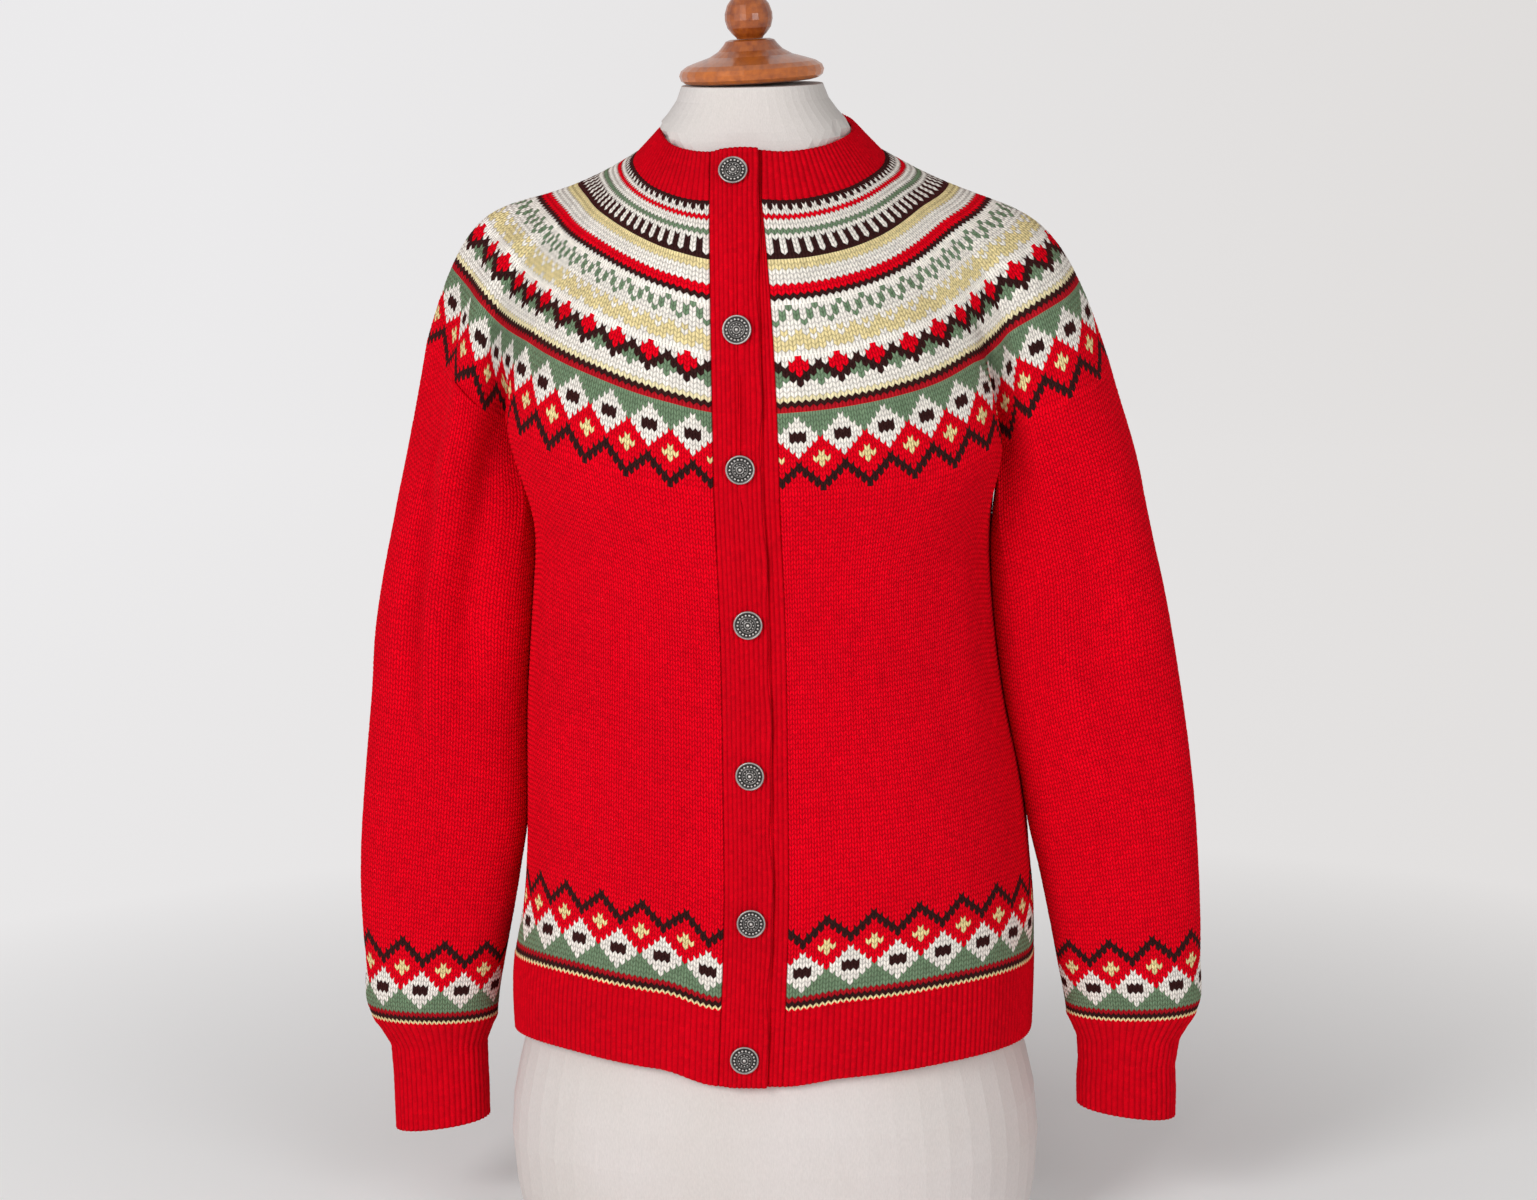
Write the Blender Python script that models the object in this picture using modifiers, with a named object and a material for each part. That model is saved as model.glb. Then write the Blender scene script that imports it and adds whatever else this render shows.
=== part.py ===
"""Hand-knitted round-yoke cardigan, buttoned up on a limbless dress form.

The cardigan faces -Y, its wearer's left is +X, and the form stands on z = 0. Sizes below are in
millimetres and are turned into metres where a mesh is made. Every knitted piece is a thin wall:
an outer skin worked out from short tables of sections, and an inner skin one wall thickness inside
it. Two pieces that meet at a seam share the same points and the same wall direction there, so
their edges lie SEAM apart along the whole seam.
"""
import math
from collections import namedtuple

import bmesh
import bpy
import numpy as np
from mathutils import Matrix, Vector
from mathutils.bvhtree import BVHTree

MM = 0.001
SEAM = 0.3
BAND_SEAM = 0.45
WALL = 2.6
RIB_WALL = 2.9

# Heights above the surface that the form stands on.
HEM_HEIGHT = 145.0
RIB_TOP = 199.0
NECK_TOP = 824.0
CUFF_SEAM = {+1: 158.0, -1: 151.0}
CUFF_END = {+1: 85.0, -1: 70.0}

# The front bands: how far each edge lies from the buttons' line, towards the wearer's left.
OVER_BAND = (-19.0, 14.5)
UNDER_BAND = (-9.0, 26.0)
UNDER_TUCK = 9.0
OVER_LIFT = 3.3
LIFT_RUN = 11.0
BAND_LINE_HEIGHTS = (145.0, 170.0, 256.0, 360.0, 465.0, 572.0, 665.0, 784.0)
BAND_LINE_SHIFTS = (-6.0, -4.5, 0.0, 1.0, 1.5, 0.0, -1.0, -4.0)

# One half of the neckband, from the centre front round the side to the centre back.
NeckRow = namedtuple("NeckRow", "place low_x low_y low_z top_x top_y top_z")
NECK = (
    NeckRow("centre front", 0, -88, 752, 0, -72, 784),
    NeckRow("front", 33, -84, 754, 28, -68, 785),
    NeckRow("front curve", 66, -65, 763, 52, -51, 790),
    NeckRow("front side", 86, -31, 774, 67, -23, 797),
    NeckRow("side", 91, 4, 781, 70, 4, 801),
    NeckRow("back side", 84, 40, 787, 65, 32, 806),
    NeckRow("back curve", 62, 67, 790, 47, 53, 809),
    NeckRow("back", 32, 80, 791, 25, 62, 810),
    NeckRow("centre back", 0, 83, 791, 0, 65, 810),
)

# Where the yoke ends, from the centre front over the sleeve to the centre back, on the wearer's
# left. Rows marked deep lie in the two clefts that run up from the armpit.
BaseRow = namedtuple("BaseRow", "place x y z deep")
YOKE_BASE = (
    BaseRow("centre front", 0, -127, 555, False),
    BaseRow("front", 60, -126, 557, False),
    BaseRow("front curve", 110, -113, 564, False),
    BaseRow("front side", 146, -90, 573, False),
    BaseRow("front lip", 168, -64, 584, False),
    BaseRow("front wall", 173, -43, 581, True),
    BaseRow("front valley", 169, -26, 577, True),
    BaseRow("sleeve wall", 182, -39, 591, True),
    BaseRow("sleeve lip", 191, -55, 604, False),
    BaseRow("sleeve front", 214, -52, 614, False),
    BaseRow("sleeve curve", 236, -32, 625, False),
    BaseRow("sleeve side", 245, 0, 637, False),
    BaseRow("sleeve back curve", 237, 29, 632, False),
    BaseRow("sleeve back", 216, 47, 622, False),
    BaseRow("sleeve back lip", 192, 51, 612, False),
    BaseRow("sleeve back wall", 182, 38, 599, True),
    BaseRow("back valley", 169, 26, 583, True),
    BaseRow("back wall", 172, 43, 590, True),
    BaseRow("back lip", 166, 62, 594, False),
    BaseRow("back side", 141, 84, 590, False),
    BaseRow("back curve", 105, 98, 584, False),
    BaseRow("back", 58, 105, 581, False),
    BaseRow("centre back", 0, 106, 580, False),
)
FRONT_VALLEY = 6
BACK_VALLEY = 16
SLEEVE_REACH = {+1: 2.0, -1: -7.0}
# The wearer's right sleeve has a standing fold at its front: shifts of the base's points.
SLEEVE_FOLD = {"sleeve lip": (4.0, -3.0), "sleeve front": (-7.0, -8.0),
               "sleeve curve": (-9.0, 9.0), "sleeve side": (-1.0, 2.0)}
CLEFT_START = {+1: 0.45, -1: 0.80}
LIFT_PLACES = (0.0, 60.0, 110.0, 146.0, 168.0, 191.0, 214.0, 236.0, 245.0)
BASE_LIFT = {+1: (0.0, 0.0, -3.0, -6.0, -8.0, -9.0, -8.0, -9.0, -11.0),
             -1: (0.0, 5.0, 11.0, 11.0, 8.0, 4.0, 3.0, 7.0, 9.0)}
NECK_DROP = {+1: 11.0, -1: 5.0}
NECK_DROP_RUN = {+1: 91.0, -1: 50.0}
NECK_SPREAD = {+1: 1.0, -1: 0.92}

# How the yoke leaves the neckband and arrives at its base, at shares of the way round a half:
# fall is the slope below level at the neck, lean the slope off plumb at the base, in degrees, and
# the pulls are the lengths of the two end tangents.
DrapeRow = namedtuple("DrapeRow", "share fall fall_pull lean lean_pull")
DRAPE = (
    DrapeRow(0.00, 64, 200, 2, 200),
    DrapeRow(0.18, 56, 215, 4, 225),
    DrapeRow(0.30, 41, 255, 7, 280),
    DrapeRow(0.41, 32, 308, 13, 365),
    DrapeRow(0.51, 27, 330, 17.3, 425),
    DrapeRow(0.61, 29, 308, 14, 365),
    DrapeRow(0.70, 33, 275, 9, 300),
    DrapeRow(0.84, 47, 230, 2, 235),
    DrapeRow(1.00, 60, 200, -3, 200),
)
FALL_MORE = {+1: 0.0, -1: 5.0}

# The body below the yoke. left and right are half widths.
BodyRow = namedtuple("BodyRow", "height left right front back")
BODY = (
    BodyRow(130, 187, 186, 127, 124),
    BodyRow(150, 188, 187, 128, 125),
    BodyRow(200, 190, 186, 128, 124),
    BodyRow(240, 190, 178, 127, 120),
    BodyRow(280, 187, 174, 125, 113),
    BodyRow(330, 183, 172, 122, 103),
    BodyRow(390, 172, 170, 120, 95),
    BodyRow(450, 165, 165, 121, 92),
    BodyRow(520, 162, 160, 126, 98),
    BodyRow(600, 168, 168, 127, 107),
)
BODY_SQUARENESS = 2.35
ARMPIT_FADE = 0.22

# Where the sleeves lie against the body: the gap, how flat they press, and the heights.
REST_GAP = 1.2
REST_FLAT = 2.0
REST_LOW = 280.0
REST_HIGH = {+1: 545.0, -1: 580.0}

# How far the hem rises from its lowest point, at the front bands, towards each place.
HemSwing = namedtuple("HemSwing", "front side back")
HEM_SWING = {+1: HemSwing(4.5, 9.0, 0.0), -1: HemSwing(9.0, 12.0, 3.0)}
HEM_LOWEST = -7.0

# Each sleeve: the middle and the half size of its oval section, outwards and front to back.
SleeveRow = namedtuple("SleeveRow", "height out half_out depth half_depth")
SLEEVE = {
    +1: (
        SleeveRow(60, 256, 35.0, -1, 24),
        SleeveRow(100, 256, 35.5, -1, 24),
        SleeveRow(143, 258, 38.0, -1, 25),
        SleeveRow(158, 260, 46.5, -1, 31),
        SleeveRow(171, 261, 49.0, -2, 34),
        SleeveRow(190, 259, 50.5, -3, 35),
        SleeveRow(225, 256, 53.5, -4, 33),
        SleeveRow(270, 251, 57.0, -6, 31),
        SleeveRow(320, 245, 60.0, -9, 30),
        SleeveRow(393, 231, 65.5, -12, 27),
        SleeveRow(465, 225, 60.0, -10, 30),
        SleeveRow(520, 221, 52.5, -4, 36),
        SleeveRow(560, 222, 46.0, -1, 43),
        SleeveRow(640, 211, 38.0, 0, 52),
    ),
    -1: (
        SleeveRow(60, 246, 34.5, -1, 24),
        SleeveRow(100, 246, 35.0, -1, 24),
        SleeveRow(136, 247, 37.0, -1, 25),
        SleeveRow(151, 249, 46.0, -1, 31),
        SleeveRow(164, 250, 48.5, -2, 34),
        SleeveRow(190, 247, 50.5, -3, 35),
        SleeveRow(224, 244, 55.0, -4, 33),
        SleeveRow(260, 240, 58.5, -6, 31),
        SleeveRow(320, 233, 60.0, -9, 30),
        SleeveRow(394, 227, 57.0, -10, 31),
        SleeveRow(450, 224, 54.5, -8, 32),
        SleeveRow(518, 215, 49.5, -4, 37),
        SleeveRow(560, 213, 44.0, -1, 42),
        SleeveRow(640, 203, 38.0, 0, 50),
    ),
}
SLEEVE_SQUARENESS = 2.2
UNDERARM_SHARE = 0.178
SHOULDER_FADE = 0.26
CUFF_SLANT = 5.0

# The largest soft folds. across is the share of the way round the piece, reach its half width in
# the same measure, steep is the share of that on the far side, and the heights bound it.
FoldRow = namedtuple("FoldRow", "piece side across reach steep low high raise_by")
FOLDS = (
    FoldRow("sleeve", -1, 0.225, 0.070, 0.25, 520, 700, 6.0),
    FoldRow("sleeve", -1, 0.200, 0.070, 0.22, 330, 610, 8.0),
    FoldRow("sleeve", -1, 0.250, 0.040, 1.00, 330, 640, -5.0),
    FoldRow("sleeve", -1, 0.100, 0.050, 1.00, 390, 620, -8.0),
    FoldRow("sleeve", +1, 0.200, 0.060, 1.00, 350, 600, -5.0),
    FoldRow("sleeve", +1, 0.120, 0.060, 1.00, 300, 480, 4.0),
    FoldRow("sleeve", +1, 0.600, 0.070, 1.00, 320, 560, -4.0),
    FoldRow("sleeve", -1, 0.600, 0.070, 1.00, 300, 540, -4.0),
    FoldRow("body", +1, 0.330, 0.050, 1.00, 330, 540, 3.5),
    FoldRow("body", -1, 0.330, 0.050, 1.00, 300, 530, 3.5),
    FoldRow("body", +1, 0.700, 0.060, 1.00, 260, 520, 3.0),
    FoldRow("body", -1, 0.720, 0.060, 1.00, 280, 540, 3.0),
)

# The seven buttons: height, offset from the buttons' line, and the turn of each in degrees.
ButtonRow = namedtuple("ButtonRow", "height shift tip turn")
BUTTONS = (
    ButtonRow(768, -2.0, -3, 4),
    ButtonRow(665, 0.0, 3, -4),
    ButtonRow(572, 0.0, 2, 3),
    ButtonRow(465, 1.0, -2, 2),
    ButtonRow(359, 0.5, 2, -2),
    ButtonRow(256, 0.5, 3, 4),
    ButtonRow(159, -1.0, 1, 5),
)
BUTTON_RADIUS = 10.0
BUTTON_SEAT = 0.35

# The dress form: half width and depths at heights, before it is kept clear of the cloth.
FormRow = namedtuple("FormRow", "height half_width front back")
FORM = (
    FormRow(0, 183, 120, 118),
    FormRow(40, 190, 124, 124),
    FormRow(75, 192, 126, 126),
    FormRow(110, 188, 125, 123),
    FormRow(145, 179, 120, 116),
    FormRow(200, 168, 113, 109),
    FormRow(300, 140, 98, 92),
    FormRow(380, 124, 92, 84),
    FormRow(440, 128, 98, 84),
    FormRow(510, 145, 118, 90),
    FormRow(560, 151, 122, 98),
    FormRow(610, 158, 118, 102),
    FormRow(645, 166, 113, 104),
    FormRow(675, 179, 110, 104),
    FormRow(705, 184, 106, 104),
    FormRow(735, 182, 100, 102),
    FormRow(752, 165, 92, 98),
    FormRow(768, 118, 76, 88),
    FormRow(782, 84, 63, 72),
    FormRow(801, 63, 55, 58),
    FormRow(812, 54, 52, 54),
    FormRow(NECK_TOP, 49, 49, 51),
)
FORM_HEIGHTS = (0, 3, 35, 70, 100, 125, 150, 200, 260, 320, 380, 440, 500, 545, 580, 612, 640, 662,
                684, 704, 718, 730, 740, 749, 757, 764, 770, 776, 782, 788, 794, 800, 806, 814,
                NECK_TOP)
FORM_SQUARENESS = 2.3
FORM_FOOT_ROUND = 3.0
FORM_EASE = 0.45
FORM_WAIST_EASE = 4.0
FORM_SIDES = 52
SETTLE_ABOVE = 640.0
SETTLE_ROUNDS = 14

# Turned profiles, radius and height above each piece's own seat, from the top down.
CAP_PROFILE = (
    (14.0, 29.6), (17.0, 28.6), (19.0, 25.8), (22.5, 22.0), (29.0, 18.2), (38.0, 15.4),
    (45.0, 13.0), (49.4, 10.0), (50.7, 6.8), (49.6, 3.2), (46.5, 1.0), (42.0, 0.0),
)
FINIAL_PROFILE = (
    (4.0, 39.6), (8.5, 38.6), (11.0, 36.0), (11.4, 32.5), (10.6, 29.6), (11.0, 28.2),
    (14.6, 23.6), (16.6, 17.6), (16.7, 13.0), (15.2, 7.6), (12.0, 3.4), (9.6, 1.2), (9.0, 0.0),
)
BUTTON_PROFILE = (
    (1.2, 4.1), (4.0, 3.9), (7.0, 3.3), (8.3, 3.0), (9.1, 3.4), (10.0, 2.9), (9.8, 1.6),
    (8.6, 0.4), (7.6, 0.0),
)
CAP_TILT = 2.0

Finish = namedtuple("Finish", "name colour roughness metallic")
RED_WOOL = Finish("red wool", (0.61, 0.004, 0.008, 1.0), 0.95, 0.0)
PATTERN_WOOL = Finish("patterned wool", (0.75, 0.68, 0.58, 1.0), 0.95, 0.0)
PEWTER = Finish("antique pewter", (0.25, 0.25, 0.26, 1.0), 0.45, 0.9)
FORM_CLOTH = Finish("form cloth", (0.68, 0.64, 0.60, 1.0), 0.9, 0.0)
WOOD = Finish("varnished wood", (0.50, 0.18, 0.04, 1.0), 0.3, 0.0)


# ---------------------------------------------------------------- curves and rings

def smooth(places, values, at):
    """Read a smooth curve through values, which lie at places, at each of the given places."""
    places = np.asarray(places, float)
    values = np.asarray(values, float)
    at = np.asarray(at, float)
    slopes = np.gradient(values, places, axis=0)
    index = np.clip(np.searchsorted(places, at) - 1, 0, len(places) - 2)
    span = places[index + 1] - places[index]
    step = (at - places[index]) / span
    if values.ndim > 1:
        span = span[..., None]
        step = step[..., None]
    ease = step * step * (3 - 2 * step)
    swing_in = step * (1 - step) ** 2 * span
    swing_out = step * step * (step - 1) * span
    return ((1 - ease) * values[index] + ease * values[index + 1]
            + swing_in * slopes[index] + swing_out * slopes[index + 1])


def soft_step(value):
    """Rise softly from 0 to 1 as the value does."""
    value = np.clip(value, 0.0, 1.0)
    return value * value * (3 - 2 * value)


def lengths_along(points):
    """Give the length run so far at each point of a line."""
    steps = np.linalg.norm(np.diff(points, axis=0), axis=1)
    return np.concatenate([[0.0], np.cumsum(steps)])


def unit(vectors):
    """Scale vectors to length 1."""
    return vectors / np.maximum(np.linalg.norm(vectors, axis=-1, keepdims=True), 1e-9)


def superellipse(angle, half_x, half_y, squareness):
    """Place points on a rounded box section; angle 0 is at -Y and a quarter turn is at +X."""
    sine, cosine = np.sin(angle), np.cos(angle)
    power = 2.0 / squareness
    return np.stack([half_x * np.sign(sine) * np.abs(sine) ** power,
                     -half_y * np.sign(cosine) * np.abs(cosine) ** power], axis=-1)


class Ring:
    """Half a ring of cloth, from the centre front to the centre back, read by length."""

    def __init__(self, points, per_gap=24):
        """Run a smooth curve through the points, square to the middle plane at both ends."""
        points = np.asarray(points, float)
        mirror = points[[1, -2]] * (-1, 1, 1)
        full = np.vstack([mirror[:1], points, mirror[1:]])
        knots = lengths_along(full)
        first, last = knots[1], knots[-2]
        count = (len(points) - 1) * per_gap + 1
        dense_at = np.interp(np.linspace(0, len(points) - 1, count),
                             np.arange(len(points)), knots[1:-1])
        dense_at[0], dense_at[-1] = first, last
        self.line = smooth(knots, full, dense_at)
        self.lengths = lengths_along(self.line)
        self.length = self.lengths[-1]
        self.marks = self.lengths[::per_gap]

    def at(self, lengths):
        """Give the points at the given lengths from the centre front."""
        return np.stack([np.interp(lengths, self.lengths, self.line[:, axis])
                         for axis in range(3)], axis=-1)


def mirrored(points, side):
    """Turn points on the wearer's left into ones on the given side."""
    return points * np.array([side, 1.0, 1.0])


def base_points(side, with_cleft):
    """List the yoke's base points for a side, its sleeve reaching out as that side's does."""
    rows = [row for row in YOKE_BASE if with_cleft or not row.deep]
    points = []
    for row in rows:
        reach = SLEEVE_REACH[side] * soft_step((row.x - 165.0) / 60.0)
        lift = np.interp(row.x, LIFT_PLACES, BASE_LIFT[side])
        lift *= 1.0 if row.y < 30 else 0.5
        over, forth = SLEEVE_FOLD.get(row.place, (0.0, 0.0)) if side < 0 else (0.0, 0.0)
        points.append((row.x + reach + over, row.y + forth, row.z + lift))
    return points


def neck_points(side, places):
    """Let a ring of the neckband hang lower or closer towards the shoulder of a side."""
    run = NECK_DROP_RUN[side]
    return [(x * NECK_SPREAD[side], y, z - NECK_DROP[side] * min(1.0, x / run))
            for x, y, z in places]


LOW_PLACES = [(row.low_x, row.low_y, row.low_z) for row in NECK]
TOP_PLACES = [(row.top_x, row.top_y, row.top_z) for row in NECK]
NECK_LOW = {side: Ring(neck_points(side, LOW_PLACES)) for side in (+1, -1)}
NECK_HIGH = {side: Ring(neck_points(side, TOP_PLACES)) for side in (+1, -1)}
BASE = {side: Ring(base_points(side, True)) for side in (+1, -1)}
PLAIN_BASE = {side: Ring(base_points(side, False)) for side in (+1, -1)}


def band_shift(height):
    """Give how far the buttons' line lies towards the wearer's left at a height."""
    return smooth(BAND_LINE_HEIGHTS, BAND_LINE_SHIFTS, height)


def placed(offset, height):
    """Give where a line beside the buttons lies; near the neck the under band draws in."""
    beyond = np.clip((offset - OVER_BAND[1]) / (UNDER_BAND[1] - OVER_BAND[1]), 0.0, 1.0)
    drawn = UNDER_TUCK * soft_step((height - 690.0) / 50.0) * beyond
    return float(offset + band_shift(height) - drawn)


def front_edge(side, height):
    """Give the length from the centre front to a front's edge, where its band begins."""
    if side > 0:
        return placed(UNDER_BAND[1] + BAND_SEAM, height)
    return -(OVER_BAND[0] - BAND_SEAM + band_shift(height))


# ---------------------------------------------------------------- surfaces of the garment

def meridians(side, neck_at, base_at, plain_at, shares, rows):
    """Run lines of cloth from the neckband down to the yoke's base, one to a column.

    The first four arguments place each column on the neck ring, on the base ring and on the base
    ring without its clefts, and say where it reads the drape table. rows are shares of the way
    down each line. The result is a grid of points, rows by columns.
    """
    start = NECK_LOW[side].at(neck_at)
    end = PLAIN_BASE[side].at(plain_at)
    pull_in = BASE[side].at(base_at) - end
    drape = smooth([row.share for row in DRAPE], [row[1:] for row in DRAPE], shares)
    fall = np.radians(drape[:, 0] + FALL_MORE[side] * np.sin(np.pi * shares) ** 2)
    lean = np.radians(drape[:, 2])
    level = (end - start) * (1, 1, 0)
    level = unit(level)
    down = np.array([0.0, 0.0, -1.0])
    leave = drape[:, 1:2] * (np.cos(fall)[:, None] * level + np.sin(fall)[:, None] * down)
    arrive = drape[:, 3:4] * (np.sin(lean)[:, None] * level + np.cos(lean)[:, None] * down)
    way = np.linspace(0.0, 1.0, 61)[:, None, None]
    lines = ((2 * way ** 3 - 3 * way ** 2 + 1) * start + (way ** 3 - 2 * way ** 2 + way) * leave
             + (3 * way ** 2 - 2 * way ** 3) * end + (way ** 3 - way ** 2) * arrive)
    runs = np.stack([lengths_along(line) for line in lines.transpose(1, 0, 2)], axis=1)
    cleft = soft_step((way - CLEFT_START[side]) / (1 - CLEFT_START[side])) ** 1.4
    lines = lines + cleft * pull_in
    grid = np.empty((len(rows), len(shares), 3))
    for column in range(len(shares)):
        run = runs[:, column] / runs[-1, column]
        for axis in range(3):
            grid[:, column, axis] = np.interp(rows, run, lines[:, column, axis])
    return mirrored(grid, side)


def plain_marks(side):
    """Give where the marks of the ring without clefts lie along the ring with them."""
    return BASE[side].marks[[not row.deep for row in YOKE_BASE]]


def yoke_grid(side, shares, rows):
    """Place points of the yoke; share 0 is at the front band's edge and 1 at the centre back."""
    shares = np.asarray(shares, float)
    neck_edge = front_edge(side, NECK[0].low_z)
    base_edge = front_edge(side, YOKE_BASE[0].z)
    neck_at = neck_edge + shares * (NECK_LOW[side].length - neck_edge)
    base_at = base_edge + shares * (BASE[side].length - base_edge)
    plain_at = np.interp(base_at, plain_marks(side), PLAIN_BASE[side].marks)
    return meridians(side, neck_at, base_at, plain_at, shares, rows)


def valley_shares(side):
    """Give the two shares of the way round the yoke's base where its clefts lie."""
    edge = front_edge(side, YOKE_BASE[0].z)
    marks = BASE[side].marks[[FRONT_VALLEY, BACK_VALLEY]]
    return (marks - edge) / (BASE[side].length - edge)


def neck_grid(side, shares, rows):
    """Place points of the neckband from its seam with the yoke, row 0, to its top, row 1."""
    shares = np.asarray(shares, float)[None, :]
    rows = np.asarray(rows, float)[:, None]
    low_edge = front_edge(side, NECK[0].low_z)
    high_edge = front_edge(side, NECK[0].top_z)
    low_ring, high_ring = NECK_LOW[side], NECK_HIGH[side]
    low = low_ring.at(low_edge + shares * (low_ring.length - low_edge))
    high = high_ring.at(high_edge + shares * (high_ring.length - high_edge))
    return mirrored(low + rows[..., None] * (high - low), side)


def body_section(side, height, count=97):
    """Give half a level section of the body, from the centre front to the centre back."""
    row = smooth([row.height for row in BODY], [row[1:] for row in BODY], height)
    half_width = row[0] if side > 0 else row[1]
    angles = np.linspace(0.0, math.pi / 2, count)
    front = superellipse(angles, half_width, row[2], BODY_SQUARENESS)
    back = superellipse(angles[::-1], half_width, row[3], BODY_SQUARENESS) * (1, -1)
    line = np.vstack([front, back[1:]])
    return np.column_stack([line, np.full(len(line), height)])


def read_line(line, lengths):
    """Read points of a line at lengths along it, and give them with the line's whole length."""
    run = lengths_along(line)
    return np.stack([np.interp(lengths, run, line[:, axis]) for axis in range(3)], axis=-1)


def armpit_line(side, count=9):
    """Give the straight seam under the arm, from the front valley to the back one."""
    ring = BASE[side]
    ends = ring.at(ring.marks[[FRONT_VALLEY, BACK_VALLEY]])
    return ends[0] + np.linspace(0.0, 1.0, count)[:, None] * (ends[1] - ends[0])


def body_top(side):
    """Give half the ring that the body hangs from: the front, the underarm and the back."""
    ring = BASE[side]
    front = ring.line[ring.lengths <= ring.marks[FRONT_VALLEY]]
    back = ring.line[ring.lengths >= ring.marks[BACK_VALLEY]]
    return np.vstack([front, armpit_line(side)[1:-1], back])


def fold_lift(piece, side, across, heights):
    """Add up how far the folds raise the cloth at shares across a piece and at heights."""
    lift = np.zeros(np.broadcast(across, heights).shape)
    for fold in FOLDS:
        if fold.piece != piece or fold.side != side:
            continue
        away = (across - fold.across) / fold.reach
        away = np.where(away > 0, away / fold.steep, away)
        middle, half = (fold.low + fold.high) / 2, (fold.high - fold.low) / 2
        along = np.clip(1 - np.abs(heights - middle) / half, 0, 1)
        lift += fold.raise_by * np.exp(-away ** 2) * soft_step(along * 1.6)
    return lift


def hem_drop(side, share, row):
    """Give how far the cloth hangs off its level, at a share round the body and a row."""
    swing = HEM_SWING[side]
    lift = swing.side * soft_step(share / 0.38) - swing.back * soft_step((share - 0.55) / 0.45)
    lift += swing.front * soft_step(share / 0.09) * (1 - soft_step((share - 0.20) / 0.26))
    return (HEM_LOWEST + lift) * soft_step((row - 0.35) / 0.65)


def body_grid(side, shares, rows):
    """Place points of the body; row 0 is at the yoke, 1 at the hem rib's seam and 2 at the hem."""
    shares = np.asarray(shares, float)
    top_line = body_top(side)
    top_length = lengths_along(top_line)[-1]
    top_edge = front_edge(side, YOKE_BASE[0].z)
    top = read_line(top_line, top_edge + shares * (top_length - top_edge))
    sections = {}

    def section_point(height, share):
        """Read the plain section at a height, at a share of the way round from the band."""
        key = round(float(height), 2)
        if key not in sections:
            line = body_section(side, key)
            sections[key] = (line, lengths_along(line))
        line, run = sections[key]
        edge = front_edge(side, key)
        length = edge + share * (run[-1] - edge)
        return np.array([np.interp(length, run, line[:, axis]) for axis in range(3)])

    grid = np.empty((len(rows), len(shares), 3))
    for index, row in enumerate(rows):
        fade = 1 - soft_step(row / ARMPIT_FADE)
        for column, share in enumerate(shares):
            height = top[column, 2] + (RIB_TOP - top[column, 2]) * min(row, 1.0)
            height -= max(row - 1.0, 0.0) * (RIB_TOP - HEM_HEIGHT)
            height += hem_drop(side, share, row)
            point = section_point(height, share)
            if fade > 0:
                point = point + fade * (top[column] - section_point(top[column, 2], share))
                point[2] = height
            grid[index, column] = point
    grid = mirrored(grid, side)
    lift = fold_lift("body", side, shares[None, :], grid[..., 2])
    return grid + lift[..., None] * unit(grid * (1, 1, 0))


def rest_on_body(side, points):
    """Press a sleeve's inner side softly against the body's side, where the two hang together.

    points is a grid of one sleeve, rows by columns, as on the wearer's left. Where the arm's cloth
    meets the body's it lies flat along it, a little gap away, and swings free below.
    """
    table = smooth([row.height for row in BODY], [row[1:] for row in BODY], points[..., 2])
    half_width = table[..., 0] if side > 0 else table[..., 1]
    depth = np.where(points[..., 1] < 0, table[..., 2], table[..., 3])
    away = np.clip(np.abs(points[..., 1]) / depth, 0.0, 0.95)
    wall = half_width * (1 - away ** BODY_SQUARENESS) ** (1 / BODY_SQUARENESS) + REST_GAP
    x = points[..., 0]
    middle, inner = x.mean(axis=1, keepdims=True), x.min(axis=1, keepdims=True)
    weight = np.clip((middle - x) / (middle - inner), 0.0, 1.0) ** 2
    gap = (x - wall).min(axis=1, keepdims=True)
    height = points[..., 2]
    near = soft_step((height - REST_LOW) / 35.0) * soft_step((REST_HIGH[side] - height) / 50.0)
    pressed = np.maximum(x - (gap + REST_FLAT) * weight, wall)
    rested = points.copy()
    rested[..., 0] = x + near * (pressed - x)
    return rested


def sleeve_section(side, height, count=181):
    """Give a sleeve's oval section, from its inner side round the front, once round."""
    rows = SLEEVE[side]
    row = smooth([row.height for row in rows], [row[1:] for row in rows], height)
    angles = np.linspace(-math.pi / 2, 3 * math.pi / 2, count)
    oval = superellipse(angles, row[1], row[3], SLEEVE_SQUARENESS) + (row[0], row[2])
    return np.column_stack([oval, np.full(len(oval), height)])


def sleeve_top(side):
    """Give the ring that a sleeve hangs from, from the front valley over it and back under."""
    ring = BASE[side]
    inside = ((ring.lengths >= ring.marks[FRONT_VALLEY])
              & (ring.lengths <= ring.marks[BACK_VALLEY]))
    return np.vstack([ring.line[inside], armpit_line(side)[::-1][1:]])


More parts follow.
